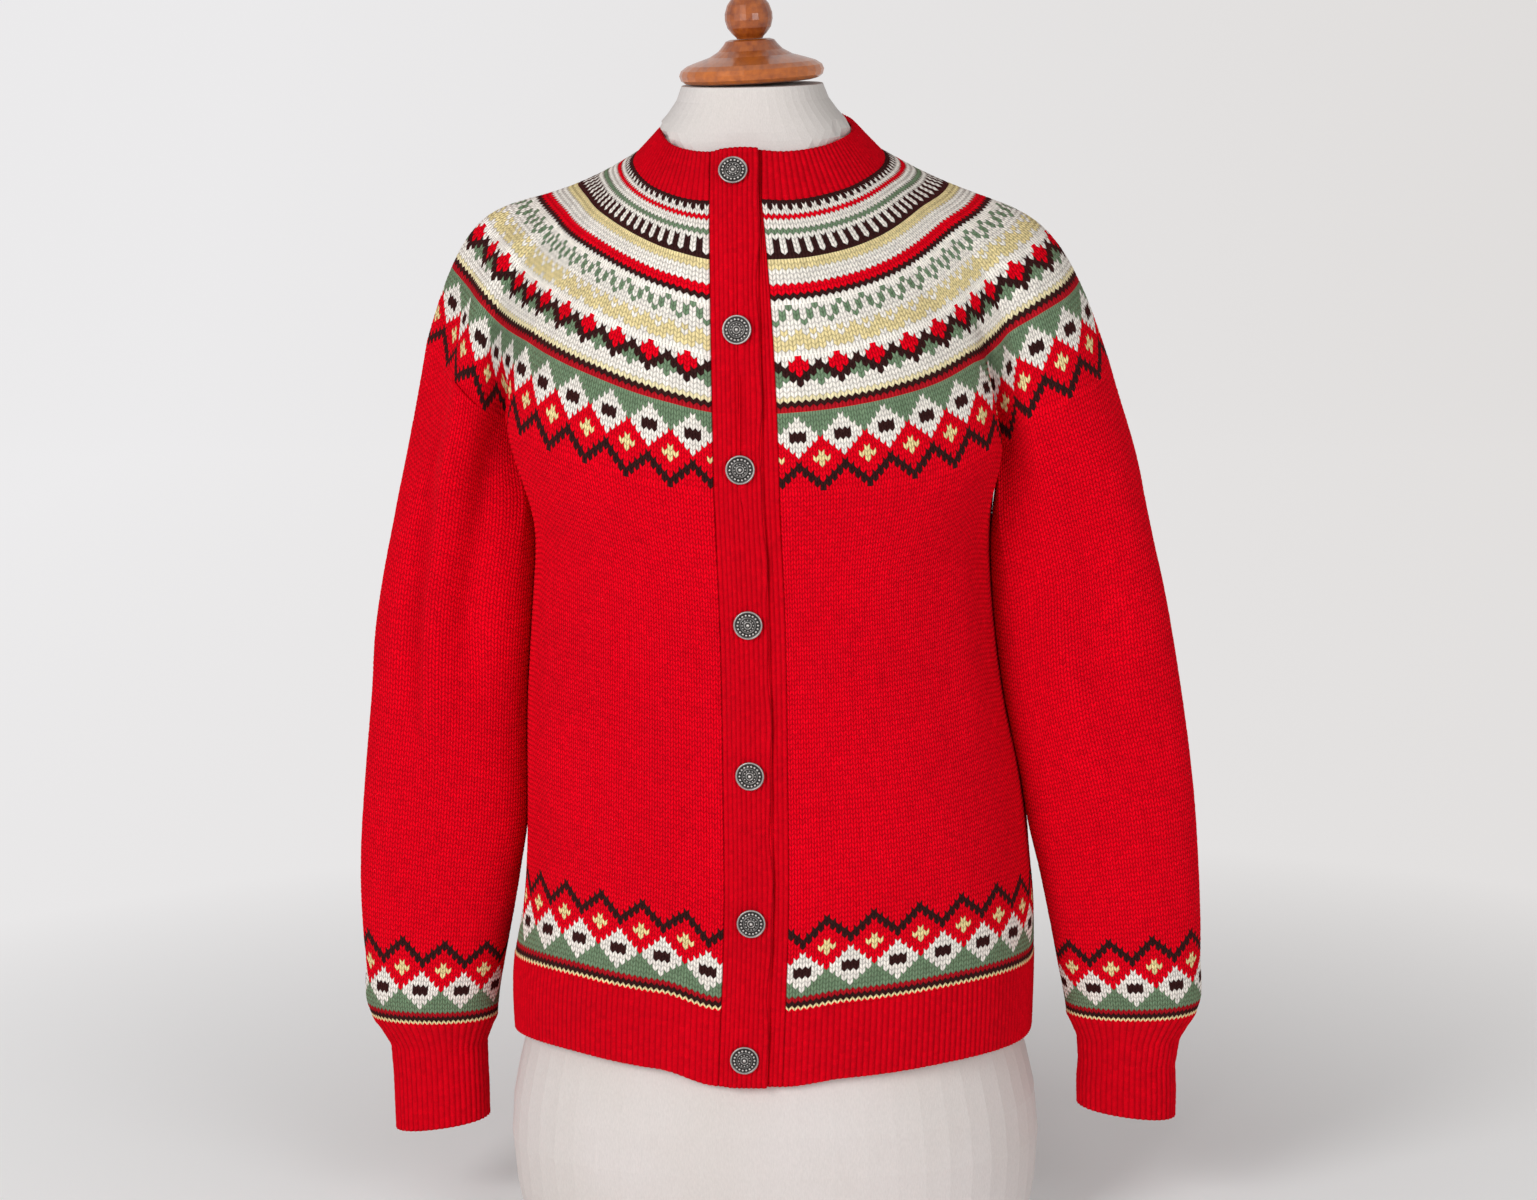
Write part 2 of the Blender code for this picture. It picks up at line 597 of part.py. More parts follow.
def sleeve_grid(side, shares, rows):
    """Place points of a sleeve; row 0 is at the yoke, 1 at the cuff's seam and 2 at its end."""
    shares = np.asarray(shares, float)
    top_line = sleeve_top(side)
    top = read_line(top_line, shares * lengths_along(top_line)[-1])
    sections = {}

    def section_point(height, share):
        """Read the oval at a height, at a share of the way round from the front valley."""
        key = round(float(height), 2)
        if key not in sections:
            line = sleeve_section(side, key)
            sections[key] = (line, lengths_along(line))
        line, run = sections[key]
        length = ((share + UNDERARM_SHARE / 2) % 1.0) * run[-1]
        return np.array([np.interp(length, run, line[:, axis]) for axis in range(3)])

    grid = np.empty((len(rows), len(shares), 3))
    for index, row in enumerate(rows):
        fade = 1 - soft_step(row / SHOULDER_FADE)
        for column, share in enumerate(shares):
            start = top[column, 2]
            height = start + (CUFF_SEAM[side] - start) * min(row, 1.0)
            height -= max(row - 1.0, 0.0) * (CUFF_SEAM[side] - CUFF_END[side])
            point = section_point(height, share)
            if fade > 0:
                point = point + fade * (top[column] - section_point(start, share))
                point[2] = height
            middle = smooth([r.height for r in SLEEVE[side]], [r.out for r in SLEEVE[side]], height)
            point[2] -= max(row - 1.0, 0.0) * CUFF_SLANT * (point[0] - middle) / 35.0
            grid[index, column] = point
    lift = fold_lift("sleeve", side, shares[None, :], grid[..., 2])
    middle = grid.mean(axis=1, keepdims=True)
    grid = grid + lift[..., None] * unit((grid - middle) * (1, 1, 0))
    return mirrored(rest_on_body(side, grid), side)


def wall_directions(grid, closed=False):
    """Give the direction into the cloth at each point of an outer grid.

    Rows run down and columns run from the front round the wearer's left, or the other way on the
    right, so the result is turned to point at the inside by the caller's flip.
    """
    down = np.gradient(grid, axis=0)
    if closed:
        across = np.roll(grid, -1, axis=1) - np.roll(grid, 1, axis=1)
    else:
        across = np.gradient(grid, axis=1)
    return unit(np.cross(across, down))


# ---------------------------------------------------------------- meshes

def material_for(finish):
    """Make the finish's material once and give it."""
    material = bpy.data.materials.get(finish.name)
    if material is None:
        material = bpy.data.materials.new(finish.name)
        material.use_nodes = True
        shader = material.node_tree.nodes["Principled BSDF"]
        shader.inputs["Base Color"].default_value = finish.colour
        shader.inputs["Roughness"].default_value = finish.roughness
        shader.inputs["Metallic"].default_value = finish.metallic
    return material


def add_object(name, points, faces, finish, collection, flat_above=35.0):
    """Make a mesh object from points in millimetres and add it to the collection."""
    mesh = bpy.data.meshes.new(name)
    mesh.from_pydata([tuple(float(value) * MM for value in point) for point in points], [], faces)
    mesh.update()
    mesh.materials.append(material_for(finish))
    mesh.shade_smooth()
    mesh.set_sharp_from_angle(angle=math.radians(flat_above))
    thing = bpy.data.objects.new(name, mesh)
    collection.objects.link(thing)
    return thing


def halves_of(points, a, b, c, d):
    """Split the four-sided face a b c d along its shorter diagonal."""
    if np.linalg.norm(points[a] - points[c]) <= np.linalg.norm(points[b] - points[d]) + 0.001:
        return [(a, b, c), (a, c, d)]
    return [(a, b, d), (b, c, d)]


def rim_halves(points, outer_a, outer_b, inner_b, inner_a):
    """Split a rim's face from its lower outer point, as the piece across the seam does too."""
    first, second = points[outer_a], points[outer_b]
    if abs(first[2] - second[2]) > 0.05:
        from_first = first[2] < second[2]
    else:
        from_first = abs(first[0]) < abs(second[0])
    if from_first:
        return [(outer_a, outer_b, inner_b), (outer_a, inner_b, inner_a)]
    return [(outer_a, outer_b, inner_a), (outer_b, inner_b, inner_a)]


def loft_wall(name, outer, inner, closed, finish, collection):
    """Make a wall of cloth between an outer and an inner grid of points."""
    rows, columns = outer.shape[:2]
    points = np.vstack([outer.reshape(-1, 3), inner.reshape(-1, 3)])
    offset = rows * columns
    spans = columns if closed else columns - 1
    faces = []
    for row in range(rows - 1):
        for column in range(spans):
            beside = (column + 1) % columns
            a, b = row * columns + column, row * columns + beside
            c, d = a + columns, b + columns
            faces += halves_of(points, a, c, d, b)
            faces += halves_of(points, offset + a, offset + b, offset + d, offset + c)
    for column in range(spans):
        beside = (column + 1) % columns
        last = (rows - 1) * columns
        faces += rim_halves(points, column, beside, offset + beside, offset + column)
        faces += [face[::-1] for face in
                  rim_halves(points, last + column, last + beside,
                             offset + last + beside, offset + last + column)]
    if not closed:
        for row in range(rows - 1):
            a, c = row * columns, (row + 1) * columns
            faces += halves_of(points, a, offset + a, offset + c, c)
            b, d = a + columns - 1, c + columns - 1
            faces += halves_of(points, b, d, offset + d, offset + b)
    thing = add_object(name, points, faces, finish, collection)
    face_outwards(thing)
    return thing


def face_outwards(thing):
    """Turn every face of a closed mesh to point out of it."""
    work = bmesh.new()
    work.from_mesh(thing.data)
    bmesh.ops.recalc_face_normals(work, faces=work.faces)
    if work.calc_volume(signed=True) < 0:
        bmesh.ops.reverse_faces(work, faces=work.faces)
    work.to_mesh(thing.data)
    work.free()


def turned(name, profile, seat, finish, collection, steps):
    """Turn a profile, listed from the top down, about the vertical axis through its seat."""
    work = bmesh.new()
    line = [(0.0, profile[0][1])] + list(profile) + [(0.0, profile[-1][1])]
    corners = [work.verts.new((radius * MM, 0.0, height * MM)) for radius, height in line]
    for upper, lower in zip(corners, corners[1:]):
        work.edges.new((upper, lower))
    mesh = bpy.data.meshes.new(name)
    work.to_mesh(mesh)
    work.free()
    mesh.materials.append(material_for(finish))
    thing = bpy.data.objects.new(name, mesh)
    collection.objects.link(thing)
    thing.location = [value * MM for value in seat]
    turn = thing.modifiers.new("Turn", "SCREW")
    turn.angle = math.tau
    turn.steps = steps
    turn.render_steps = steps
    turn.use_merge_vertices = True
    turn.merge_threshold = 0.00001
    turn.use_smooth_shade = True
    return thing


# ---------------------------------------------------------------- the pieces

def side_columns(side, front, sleeve, back):
    """Share out the yoke's columns over its front, its sleeve and its back."""
    first, second = valley_shares(side)
    return np.concatenate([np.linspace(0.0, first, front + 1)[:-1],
                           np.linspace(first, second, sleeve + 1)[:-1],
                           np.linspace(second, 1.0, back + 1)])


FRONT_COLUMNS, SLEEVE_COLUMNS, BACK_COLUMNS, UNDERARM_COLUMNS = 12, 14, 10, 4
YOKE_ROWS = (0.0, 0.12, 0.25, 0.38, 0.5, 0.61, 0.71, 0.8, 0.88, 0.95, 1.0)
BODY_ROWS = (0.0, 0.06, 0.13, 0.22, 0.38, 0.55, 0.75, 1.0)
HEM_ROWS = (1.0, 1.33, 1.66, 2.0)
SLEEVE_ROWS = (0.0, 0.05, 0.1, 0.17, 0.26, 0.4, 0.55, 0.7, 0.84, 0.93, 0.97, 1.0)
CUFF_ROWS = (1.0, 1.25, 1.6, 2.0)
NECK_ROWS = (0.0, 0.5, 1.0)
PLAIN_DROP = np.array([0.0, 0.0, -1.0])
VALLEY_DROP = np.array([0.0, 0.0, -4.5])


def seamed(grid, upper=None, lower=None):
    """Pull a grid's first row down from its seam and its last row up, along the given drops."""
    grid = grid.copy()
    if upper is not None:
        grid[0] += upper * SEAM / 2
    if lower is not None:
        grid[-1] -= lower * SEAM / 2
    return grid


def seam_drops(grid, inward, row):
    """Give the ways down the cloth that are square to a seam, one to a column."""
    along = np.gradient(grid[row], axis=0)
    drops = unit(np.cross(along, inward[row]))
    return drops * np.where(drops[:, 2:] > 0, -1.0, 1.0)


def joined_sides(left, right):
    """Join a left half and a right half of a piece at the centre back."""
    return np.concatenate([left, right[:, ::-1][:, 1:]], axis=1)


def joined_drops(drops):
    """Join the drops of the two sides at the centre back."""
    return np.concatenate([drops[+1], drops[-1][::-1][1:]])


def inward_for(side, grid, closed=False):
    """Give the directions into the cloth for a grid made on one side."""
    return side * wall_directions(grid, closed)


class Garment:
    """Works out the cardigan's grids once, so that its pieces share their seams."""

    def __init__(self):
        """Place every outer grid and its wall directions."""
        self.columns = {}
        self.yoke, self.yoke_in = {}, {}
        self.neck, self.neck_in = {}, {}
        self.body, self.body_in = {}, {}
        self.sleeve, self.sleeve_in = {}, {}
        self.neck_drop, self.base_drop = {}, {}
        for side in (+1, -1):
            columns = side_columns(side, FRONT_COLUMNS, SLEEVE_COLUMNS, BACK_COLUMNS)
            self.columns[side] = columns
            self.yoke[side] = yoke_grid(side, columns, YOKE_ROWS)
            self.yoke_in[side] = inward_for(side, self.yoke[side])
            for valley in (FRONT_COLUMNS, FRONT_COLUMNS + SLEEVE_COLUMNS):
                straight = self.yoke_in[side][-1, valley] * (0, 1, 0)
                self.yoke_in[side][-1, valley] = unit(straight)
            self.neck_drop[side] = seam_drops(self.yoke[side], self.yoke_in[side], 0)
            self.base_drop[side] = seam_drops(self.yoke[side], self.yoke_in[side], -1)
            for valley in (FRONT_COLUMNS, FRONT_COLUMNS + SLEEVE_COLUMNS):
                self.base_drop[side][valley] = VALLEY_DROP
            self.neck[side] = neck_grid(side, columns, NECK_ROWS)
            self.neck_in[side] = -inward_for(side, self.neck[side])
            self.neck_in[side][0] = self.yoke_in[side][0]
            self.lay_body(side)
            self.lay_sleeve(side)

    def lay_body(self, side):
        """Place one half of the body, its top ring matched to the yoke's base."""
        ring_length = BASE[side].length
        top_length = lengths_along(body_top(side))[-1]
        edge = front_edge(side, YOKE_BASE[0].z)
        base_at = edge + self.columns[side] * (ring_length - edge)
        front_at = base_at[:FRONT_COLUMNS + 1]
        back_at = base_at[FRONT_COLUMNS + SLEEVE_COLUMNS:] - ring_length + top_length
        under_at = np.linspace(front_at[-1], back_at[0], UNDERARM_COLUMNS + 1)[1:-1]
        shares = (np.concatenate([front_at, under_at, back_at]) - edge) / (top_length - edge)
        grid = body_grid(side, shares, BODY_ROWS + HEM_ROWS[1:])
        inward = inward_for(side, grid)
        inward[0, :FRONT_COLUMNS + 1] = self.yoke_in[side][-1, :FRONT_COLUMNS + 1]
        inward[0, -BACK_COLUMNS - 1:] = self.yoke_in[side][-1, -BACK_COLUMNS - 1:]
        self.body[side], self.body_in[side] = grid, inward

    def lay_sleeve(self, side):
        """Place one sleeve, its top ring matched to the yoke's base and the underarm."""
        top_length = lengths_along(sleeve_top(side))[-1]
        over = BASE[side].marks[BACK_VALLEY] - BASE[side].marks[FRONT_VALLEY]
        over_at = np.linspace(0.0, over, SLEEVE_COLUMNS + 1)
        under_at = np.linspace(over, top_length, UNDERARM_COLUMNS + 1)[1:-1]
        shares = np.concatenate([over_at, under_at]) / top_length
        grid = sleeve_grid(side, shares, SLEEVE_ROWS + CUFF_ROWS[1:])
        inward = inward_for(side, grid, closed=True)
        over_slice = slice(FRONT_COLUMNS, FRONT_COLUMNS + SLEEVE_COLUMNS + 1)
        inward[0, :SLEEVE_COLUMNS + 1] = self.yoke_in[side][-1, over_slice]
        self.sleeve[side], self.sleeve_in[side] = grid, inward


def side_name(side):
    """Name a side of the wearer's."""
    return "left" if side > 0 else "right"


def make_yoke(garment, collection):
    """Make the round yoke in one piece, open at the centre front."""
    outer = joined_sides(garment.yoke[+1], garment.yoke[-1])
    inward = joined_sides(garment.yoke_in[+1], garment.yoke_in[-1])
    middle = FRONT_COLUMNS + SLEEVE_COLUMNS + BACK_COLUMNS
    inward[:, middle] = unit(inward[:, middle] * (0, 1, 1))
    outer = seamed(outer, joined_drops(garment.neck_drop), joined_drops(garment.base_drop))
    return loft_wall("yoke", outer, outer + WALL * inward, False, PATTERN_WOOL, collection)


def make_neckband(garment, collection):
    """Make the ribbed neckband, open at the centre front."""
    outer = joined_sides(garment.neck[+1], garment.neck[-1])
    inward = joined_sides(garment.neck_in[+1], garment.neck_in[-1])
    middle = FRONT_COLUMNS + SLEEVE_COLUMNS + BACK_COLUMNS
    inward[:, middle] = unit(inward[:, middle] * (0, 1, 1))
    outer = outer.copy()
    outer[0] -= joined_drops(garment.neck_drop) * SEAM / 2
    return loft_wall("neckband", outer, outer + WALL * inward, False, RED_WOOL, collection)


def make_body(garment, collection):
    """Make the two fronts, the back and the hem rib."""
    body_rows = len(BODY_ROWS)
    seam_column = FRONT_COLUMNS + UNDERARM_COLUMNS // 2
    halves, directions = {}, {}
    for side in (+1, -1):
        grid, inward = garment.body[side], garment.body_in[side]
        directions[side] = inward
        under = slice(FRONT_COLUMNS, FRONT_COLUMNS + UNDERARM_COLUMNS + 1)
        grid = grid.copy()
        grid[0, under, 0] -= side * SEAM / 2
        halves[side] = grid
        front_drop = np.tile(PLAIN_DROP, (seam_column + 1, 1))
        front_drop[:FRONT_COLUMNS + 1] = garment.base_drop[side][:FRONT_COLUMNS + 1]
        front = seamed(grid[:body_rows, :seam_column + 1], front_drop, PLAIN_DROP)
        front[:, -1, 1] -= SEAM / 2
        front_in = inward[:body_rows, :seam_column + 1]
        loft_wall("front_" + side_name(side), front, front + WALL * front_in, False, RED_WOOL,
                  collection)
    back_parts = {side: halves[side][:body_rows, seam_column:].copy() for side in (+1, -1)}
    for side in (+1, -1):
        back_parts[side][:, 0, 1] += SEAM / 2
    back_drops = {}
    for side in (+1, -1):
        back_drops[side] = np.tile(PLAIN_DROP, (back_parts[side].shape[1], 1))
        back_drops[side][-BACK_COLUMNS - 1:] = garment.base_drop[side][-BACK_COLUMNS - 1:]
    back = joined_sides(back_parts[+1], back_parts[-1])
    back = seamed(back, joined_drops(back_drops), PLAIN_DROP)
    back_in = joined_sides(directions[+1][:body_rows, seam_column:],
                           directions[-1][:body_rows, seam_column:])
    loft_wall("back", back, back + WALL * back_in, False, RED_WOOL, collection)
    hem = joined_sides(halves[+1][body_rows - 1:], halves[-1][body_rows - 1:])
    hem_in = joined_sides(directions[+1][body_rows - 1:], directions[-1][body_rows - 1:])
    hem = seamed(hem, upper=PLAIN_DROP)
    loft_wall("hem_rib", hem, hem + RIB_WALL * hem_in, False, RED_WOOL, collection)


def make_sleeves(garment, collection):
    """Make the sleeves and their cuffs."""
    rows = len(SLEEVE_ROWS)
    for side in (+1, -1):
        grid, inward = garment.sleeve[side].copy(), garment.sleeve_in[side]
        grid[0, SLEEVE_COLUMNS + 1:, 0] += side * SEAM / 2
        grid[0, 0, 0] += side * SEAM / 2
        grid[0, SLEEVE_COLUMNS, 0] += side * SEAM / 2
        drop = np.tile(PLAIN_DROP, (grid.shape[1], 1))
        over = slice(FRONT_COLUMNS, FRONT_COLUMNS + SLEEVE_COLUMNS + 1)
        drop[:SLEEVE_COLUMNS + 1] = garment.base_drop[side][over]
        sleeve = seamed(grid[:rows], drop, PLAIN_DROP)
        loft_wall("sleeve_" + side_name(side), sleeve, sleeve + WALL * inward[:rows], True,
                  RED_WOOL, collection)
        cuff = seamed(grid[rows - 1:], upper=PLAIN_DROP)
        loft_wall("cuff_" + side_name(side), cuff, cuff + RIB_WALL * inward[rows - 1:], True,
                  RED_WOOL, collection)


def band_strip(offsets):
    """Place the front bands' ground: points at offsets from the buttons' line, hem to neck."""
    strips = []
    for offset in offsets:
        parts = []
        for rows, kind in ((NECK_ROWS[::-1], "neck"), (YOKE_ROWS, "yoke"),
                           (BODY_ROWS + HEM_ROWS[1:], "body")):
            parts.append(band_line(offset, rows, kind))
        strips.append(np.vstack([parts[0], parts[1][1:], parts[2][1:]]))
    return np.stack(strips, axis=1)


def band_line(offset, rows, kind):
    """Read one line of the front at a steady offset from the buttons' line."""
    if kind == "body":
        heights = [YOKE_BASE[0].z + (RIB_TOP - YOKE_BASE[0].z) * min(row, 1.0)
                   - max(row - 1.0, 0.0) * (RIB_TOP - HEM_HEIGHT) + hem_drop(+1, 0.0, row)
                   for row in rows]
        points = []
        for height in heights:
            at = placed(offset, height)
            side = 1 if at >= 0 else -1
            line = body_section(side, height)
            points.append(mirrored(read_line(line, abs(at)), side))
        return np.array(points)
    neck_at = placed(offset, NECK[0].low_z)
    side = 1 if neck_at >= 0 else -1
    if kind == "yoke":
        base_at = placed(offset, YOKE_BASE[0].z)
        base = np.array([max(side * base_at, 0.0)])
        return meridians(side, np.array([abs(neck_at)]), base, base, np.zeros(1), rows)[:, 0]
    top_at = placed(offset, NECK[0].top_z)
    top_side = 1 if top_at >= 0 else -1
    low = mirrored(NECK_LOW[side].at(abs(neck_at)), side)
    high = mirrored(NECK_HIGH[top_side].at(abs(top_at)), top_side)
    return np.array([low + row * (high - low) for row in rows])


def make_bands(collection):
    """Make the button band and the buttonhole band that lies over it."""
    under_offsets = np.linspace(UNDER_BAND[0], UNDER_BAND[1], 5)
    under = band_strip(under_offsets)
    loft_wall("button_band", under, under + RIB_WALL * wall_directions(under), False, RED_WOOL,
              collection)
    over_offsets = np.array([-19.0, -15.5, -12.0, -8.5, -2.0, 3.5, 9.0, 14.5])
    ground = band_strip(over_offsets)
    inward = wall_directions(ground)
    rise = soft_step((over_offsets - OVER_BAND[0]) / LIFT_RUN) * OVER_LIFT
    over = ground - inward * rise[None, :, None]
    heights = ground[:, -1, 2]
    over[:, -1, 0] += 1.2 * np.sin(heights / 19.0) + 0.8 * np.sin(heights / 8.7)
    loft_wall("buttonhole_band", over, over + WALL * inward, False, RED_WOOL, collection)
    return ground, inward


def make_buttons(ground, inward, collection):
    """Make the buttons, each seated on the buttonhole band and a little askew."""
    middle = 4
    heights = ground[:, middle, 2]
    order = np.argsort(heights)
    for number, row in enumerate(BUTTONS, start=1):
        x, y = (np.interp(row.height, heights[order], ground[order, middle, axis])
                for axis in (0, 1))
        face = [float(np.interp(row.height, heights[order], -inward[order, middle, axis]))
                for axis in range(3)]
        centre_x = band_shift(row.height) + row.shift
        normal = Vector((0.0, face[1], face[2])).normalized()
        seat = Vector((float(centre_x), float(y), row.height)) + normal * (OVER_LIFT + BUTTON_SEAT)
        button = turned("button_%d" % number, BUTTON_PROFILE, seat, PEWTER, collection, 12)
        swing = Matrix.Rotation(math.radians(row.turn * 0.25), 4, "Z")
        button.rotation_euler = (swing @ normal.to_track_quat("Z", "Y").to_matrix().to_4x4()
                                 ).to_euler()


def make_form(garment_meshes, collection):
    """Make the limbless torso and neck, everywhere clear of the cloth that lies on it."""
    tree = cloth_tree(garment_meshes)
    rings = []
    for height in FORM_HEIGHTS:
        row = smooth([row.height for row in FORM], [row[1:] for row in FORM], height)
        ease = FORM_EASE + FORM_WAIST_EASE * float(soft_step((660.0 - height) / 60.0))
        foot = FORM_FOOT_ROUND * (1 - min(height / FORM_FOOT_ROUND, 1.0))
        ring = []
        for step in range(FORM_SIDES):
            angle = math.tau * step / FORM_SIDES
            depth = row[1] if math.cos(angle) > 0 else row[2]
            x, y = superellipse(angle, row[0] - foot, depth - foot, FORM_SQUARENESS)
            reach = math.hypot(x, y)
            way = Vector((float(x), float(y), 0.0)).normalized()
            hit = tree.ray_cast(Vector((0.0, 0.0, height * MM)), way)
            if hit[0] is not None:
                slope = max(abs(hit[1].normalized().dot(way)), 0.25)
                reach = min(reach, hit[3] / MM - ease / slope)
            ring.append((way.x * reach, way.y * reach, height))
        rings.append(ring)
    points = np.array([point for ring in rings for point in ring])
    faces = []
    for step in range(1, FORM_SIDES - 1):
        faces.append((0, step + 1, step))
    for level in range(len(rings) - 1):
        for step in range(FORM_SIDES):
            beside = (step + 1) % FORM_SIDES
            a, b = level * FORM_SIDES + step, level * FORM_SIDES + beside
            faces += halves_of(points, a, b, b + FORM_SIDES, a + FORM_SIDES)
    top = (len(rings) - 1) * FORM_SIDES
    for step in range(1, FORM_SIDES - 1):
        faces.append((top, top + step, top + step + 1))
    points = settled(points, faces, garment_meshes)
    form = add_object("form_torso", points, faces, FORM_CLOTH, collection)
    face_outwards(form)
    return form


def settled(points, faces, garment_meshes):
    """Press the form's skin in wherever it comes nearer than FORM_EASE to the cloth."""
    touching = []
    for thing in garment_meshes:
        place = [vertex.co / MM for vertex in thing.data.vertices]
        touching += [point for point in place if point.z > SETTLE_ABOVE]
        for edge in thing.data.edges:
            ends = [place[index] for index in edge.vertices]
            if ends[0].z > SETTLE_ABOVE:
                touching += [ends[0].lerp(ends[1], share) for share in (0.25, 0.5, 0.75)]
    for _ in range(SETTLE_ROUNDS):
        tree = BVHTree.FromPolygons([tuple(point) for point in points], faces)
        press = np.zeros(len(points))
        normals = np.zeros((len(points), 3))
        for place in touching:
            near, normal, index, _ = tree.find_nearest(place, 12.0)
            if near is None:
                continue
            need = FORM_EASE - (place - near).dot(normal)
            if need > 0:
                for corner in faces[index]:
                    normals[corner] += need * np.array(normal)
                    press[corner] = max(press[corner], need)
        points = points - unit(normals) * press[:, None] * 1.02
    return points


def cloth_tree(garment_meshes):
    """Gather the cloth's faces so that the form can be measured against them."""
    points, faces = [], []
    for thing in garment_meshes:
        start = len(points)
        points.extend(vertex.co.copy() for vertex in thing.data.vertices)
        faces.extend([start + index for index in face.vertices] for face in thing.data.polygons)
    return BVHTree.FromPolygons(points, faces)


def make_wood(collection):
    """Make the turned neck cap and the finial that stands on it."""
    tilt = math.radians(CAP_TILT)
    lift = math.sin(tilt) * CAP_PROFILE[-1][0]
    cap = turned("form_neck_cap", CAP_PROFILE, (0.0, 0.0, NECK_TOP + SEAM + lift), WOOD,
                 collection, 32)
    top = CAP_PROFILE[0][1] + SEAM
    seat = (top * math.sin(-tilt), 0.0, NECK_TOP + SEAM + lift + top * math.cos(tilt))
    finial = turned("form_finial", FINIAL_PROFILE, seat, WOOD, collection, 24)
    for thing in (cap, finial):
        thing.rotation_euler = (0.0, -tilt, 0.0)


def clear_scene():
    """Remove whatever the scene holds."""
    for thing in list(bpy.data.objects):
        bpy.data.objects.remove(thing, do_unlink=True)


def main():
    """Build the cardigan and the form that it is worn on."""
    clear_scene()
    collection = bpy.data.collections.new("cardigan_on_dress_form")
    bpy.context.scene.collection.children.link(collection)
    garment = Garment()
    make_yoke(garment, collection)
    make_neckband(garment, collection)
    make_body(garment, collection)
    make_sleeves(garment, collection)
    ground, inward = make_bands(collection)
    cloth = list(collection.objects)
    make_buttons(ground, inward, collection)
    make_form(cloth, collection)
    make_wood(collection)


main()
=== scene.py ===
"""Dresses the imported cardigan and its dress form: knitted cloth, pewter buttons, varnished wood.

Lengths in the tables are millimetres in the frame's axes: the cardigan faces -Y, its wearer's left
is +X, and the form stands on z = 0. Every knitted piece is a wall whose outer skin is knitted
stitch by stitch over the same sections that the CAD pieces are lofted from.
"""

import logging
import math
from collections.abc import Callable, Sequence
from dataclasses import dataclass, field, replace
from enum import Enum
from functools import partial
from typing import NamedTuple

import bmesh
import bpy
import numpy as np
from mathutils import Matrix, Vector


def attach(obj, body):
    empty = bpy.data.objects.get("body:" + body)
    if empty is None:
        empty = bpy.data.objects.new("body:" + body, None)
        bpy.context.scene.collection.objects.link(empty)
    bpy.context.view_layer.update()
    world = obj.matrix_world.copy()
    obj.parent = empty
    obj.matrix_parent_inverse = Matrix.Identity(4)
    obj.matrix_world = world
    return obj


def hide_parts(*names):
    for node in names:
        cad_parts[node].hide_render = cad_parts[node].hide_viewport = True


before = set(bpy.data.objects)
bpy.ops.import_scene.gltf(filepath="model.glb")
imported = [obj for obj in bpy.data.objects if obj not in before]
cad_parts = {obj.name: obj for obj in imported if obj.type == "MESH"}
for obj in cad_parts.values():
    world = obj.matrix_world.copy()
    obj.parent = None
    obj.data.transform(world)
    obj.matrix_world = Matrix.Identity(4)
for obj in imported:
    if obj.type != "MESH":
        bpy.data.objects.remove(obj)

LOG = logging.getLogger("cardigan")
MM = 0.001
MERGE = 1e-6
SEED = 20417
ROOT = "root"

Points = np.ndarray
Surface = Callable[[Points, Points], Points]
Chart = Callable[[int, int], str]

HEM_HEIGHT = 145.0
RIB_TOP = 199.0
CUFF_SEAM = {+1: 158.0, -1: 151.0}
CUFF_END = {+1: 85.0, -1: 70.0}
WALL = 2.6
RIB_WALL = 2.9

LAP = 0.0012
# How much of the painted shade in the gap between rows is left out at a piece's top and bottom
# edges.
SEAM_SOFT = 0.3
OVER_BAND = (-19.0, 14.5)
UNDER_BAND = (-9.0, 26.0)
UNDER_TUCK = 9.0
TUCK_FROM, TUCK_RUN = 690.0, 50.0
OVER_LIFT = 3.3
LIFT_RUN = 11.0
FREE_FROM, FREE_RUN = 5.0, 14.0
BAND_SWAY = ((1.2, 19.0), (0.8, 8.7))
BAND_LINE_HEIGHTS = (145.0, 170.0, 256.0, 360.0, 465.0, 572.0, 665.0, 784.0)
BAND_LINE_SHIFTS = (-6.0, -4.5, 0.0, 1.0, 1.5, 0.0, -1.0, -4.0)


def table(kind: type, *rows: tuple) -> tuple:
    """Name the columns of a table's rows."""
    return tuple(kind(*row) for row in rows)


class NeckRow(NamedTuple):
    """A place round half of the neckband, at its seam and at its top."""

    low: tuple[float, float, float]
    top: tuple[float, float, float]


NECK = table(
    NeckRow,
    ((0, -88, 752), (0, -72, 784)), ((33, -84, 754), (28, -68, 785)),
    ((66, -65, 763), (52, -51, 790)), ((86, -31, 774), (67, -23, 797)),
    ((91, 4, 781), (70, 4, 801)), ((84, 40, 787), (65, 32, 806)), ((62, 67, 790), (47, 53, 809)),
    ((32, 80, 791), (25, 62, 810)), ((0, 83, 791), (0, 65, 810)),
)


class BaseRow(NamedTuple):
    """A place round half of the yoke's base; deep ones lie in the armpit clefts."""

    x: float
    y: float
    z: float
    deep: bool


YOKE_BASE = table(
    BaseRow,
    (0, -127, 555, False), (60, -126, 557, False), (110, -113, 564, False), (146, -90, 573, False),
    (168, -64, 584, False), (173, -43, 581, True), (169, -26, 577, True), (182, -39, 591, True),
    (191, -55, 604, False), (214, -52, 614, False), (236, -32, 625, False), (245, 0, 637, False),
    (237, 29, 632, False), (216, 47, 622, False), (192, 51, 612, False), (182, 38, 599, True),
    (169, 26, 583, True), (172, 43, 590, True), (166, 62, 594, False), (141, 84, 590, False),
    (105, 98, 584, False), (58, 105, 581, False), (0, 106, 580, False),
)
FRONT_VALLEY = 6
BACK_VALLEY = 16
SLEEVE_REACH = {+1: 2.0, -1: -7.0}
REACH_FROM, REACH_RUN = 165.0, 60.0
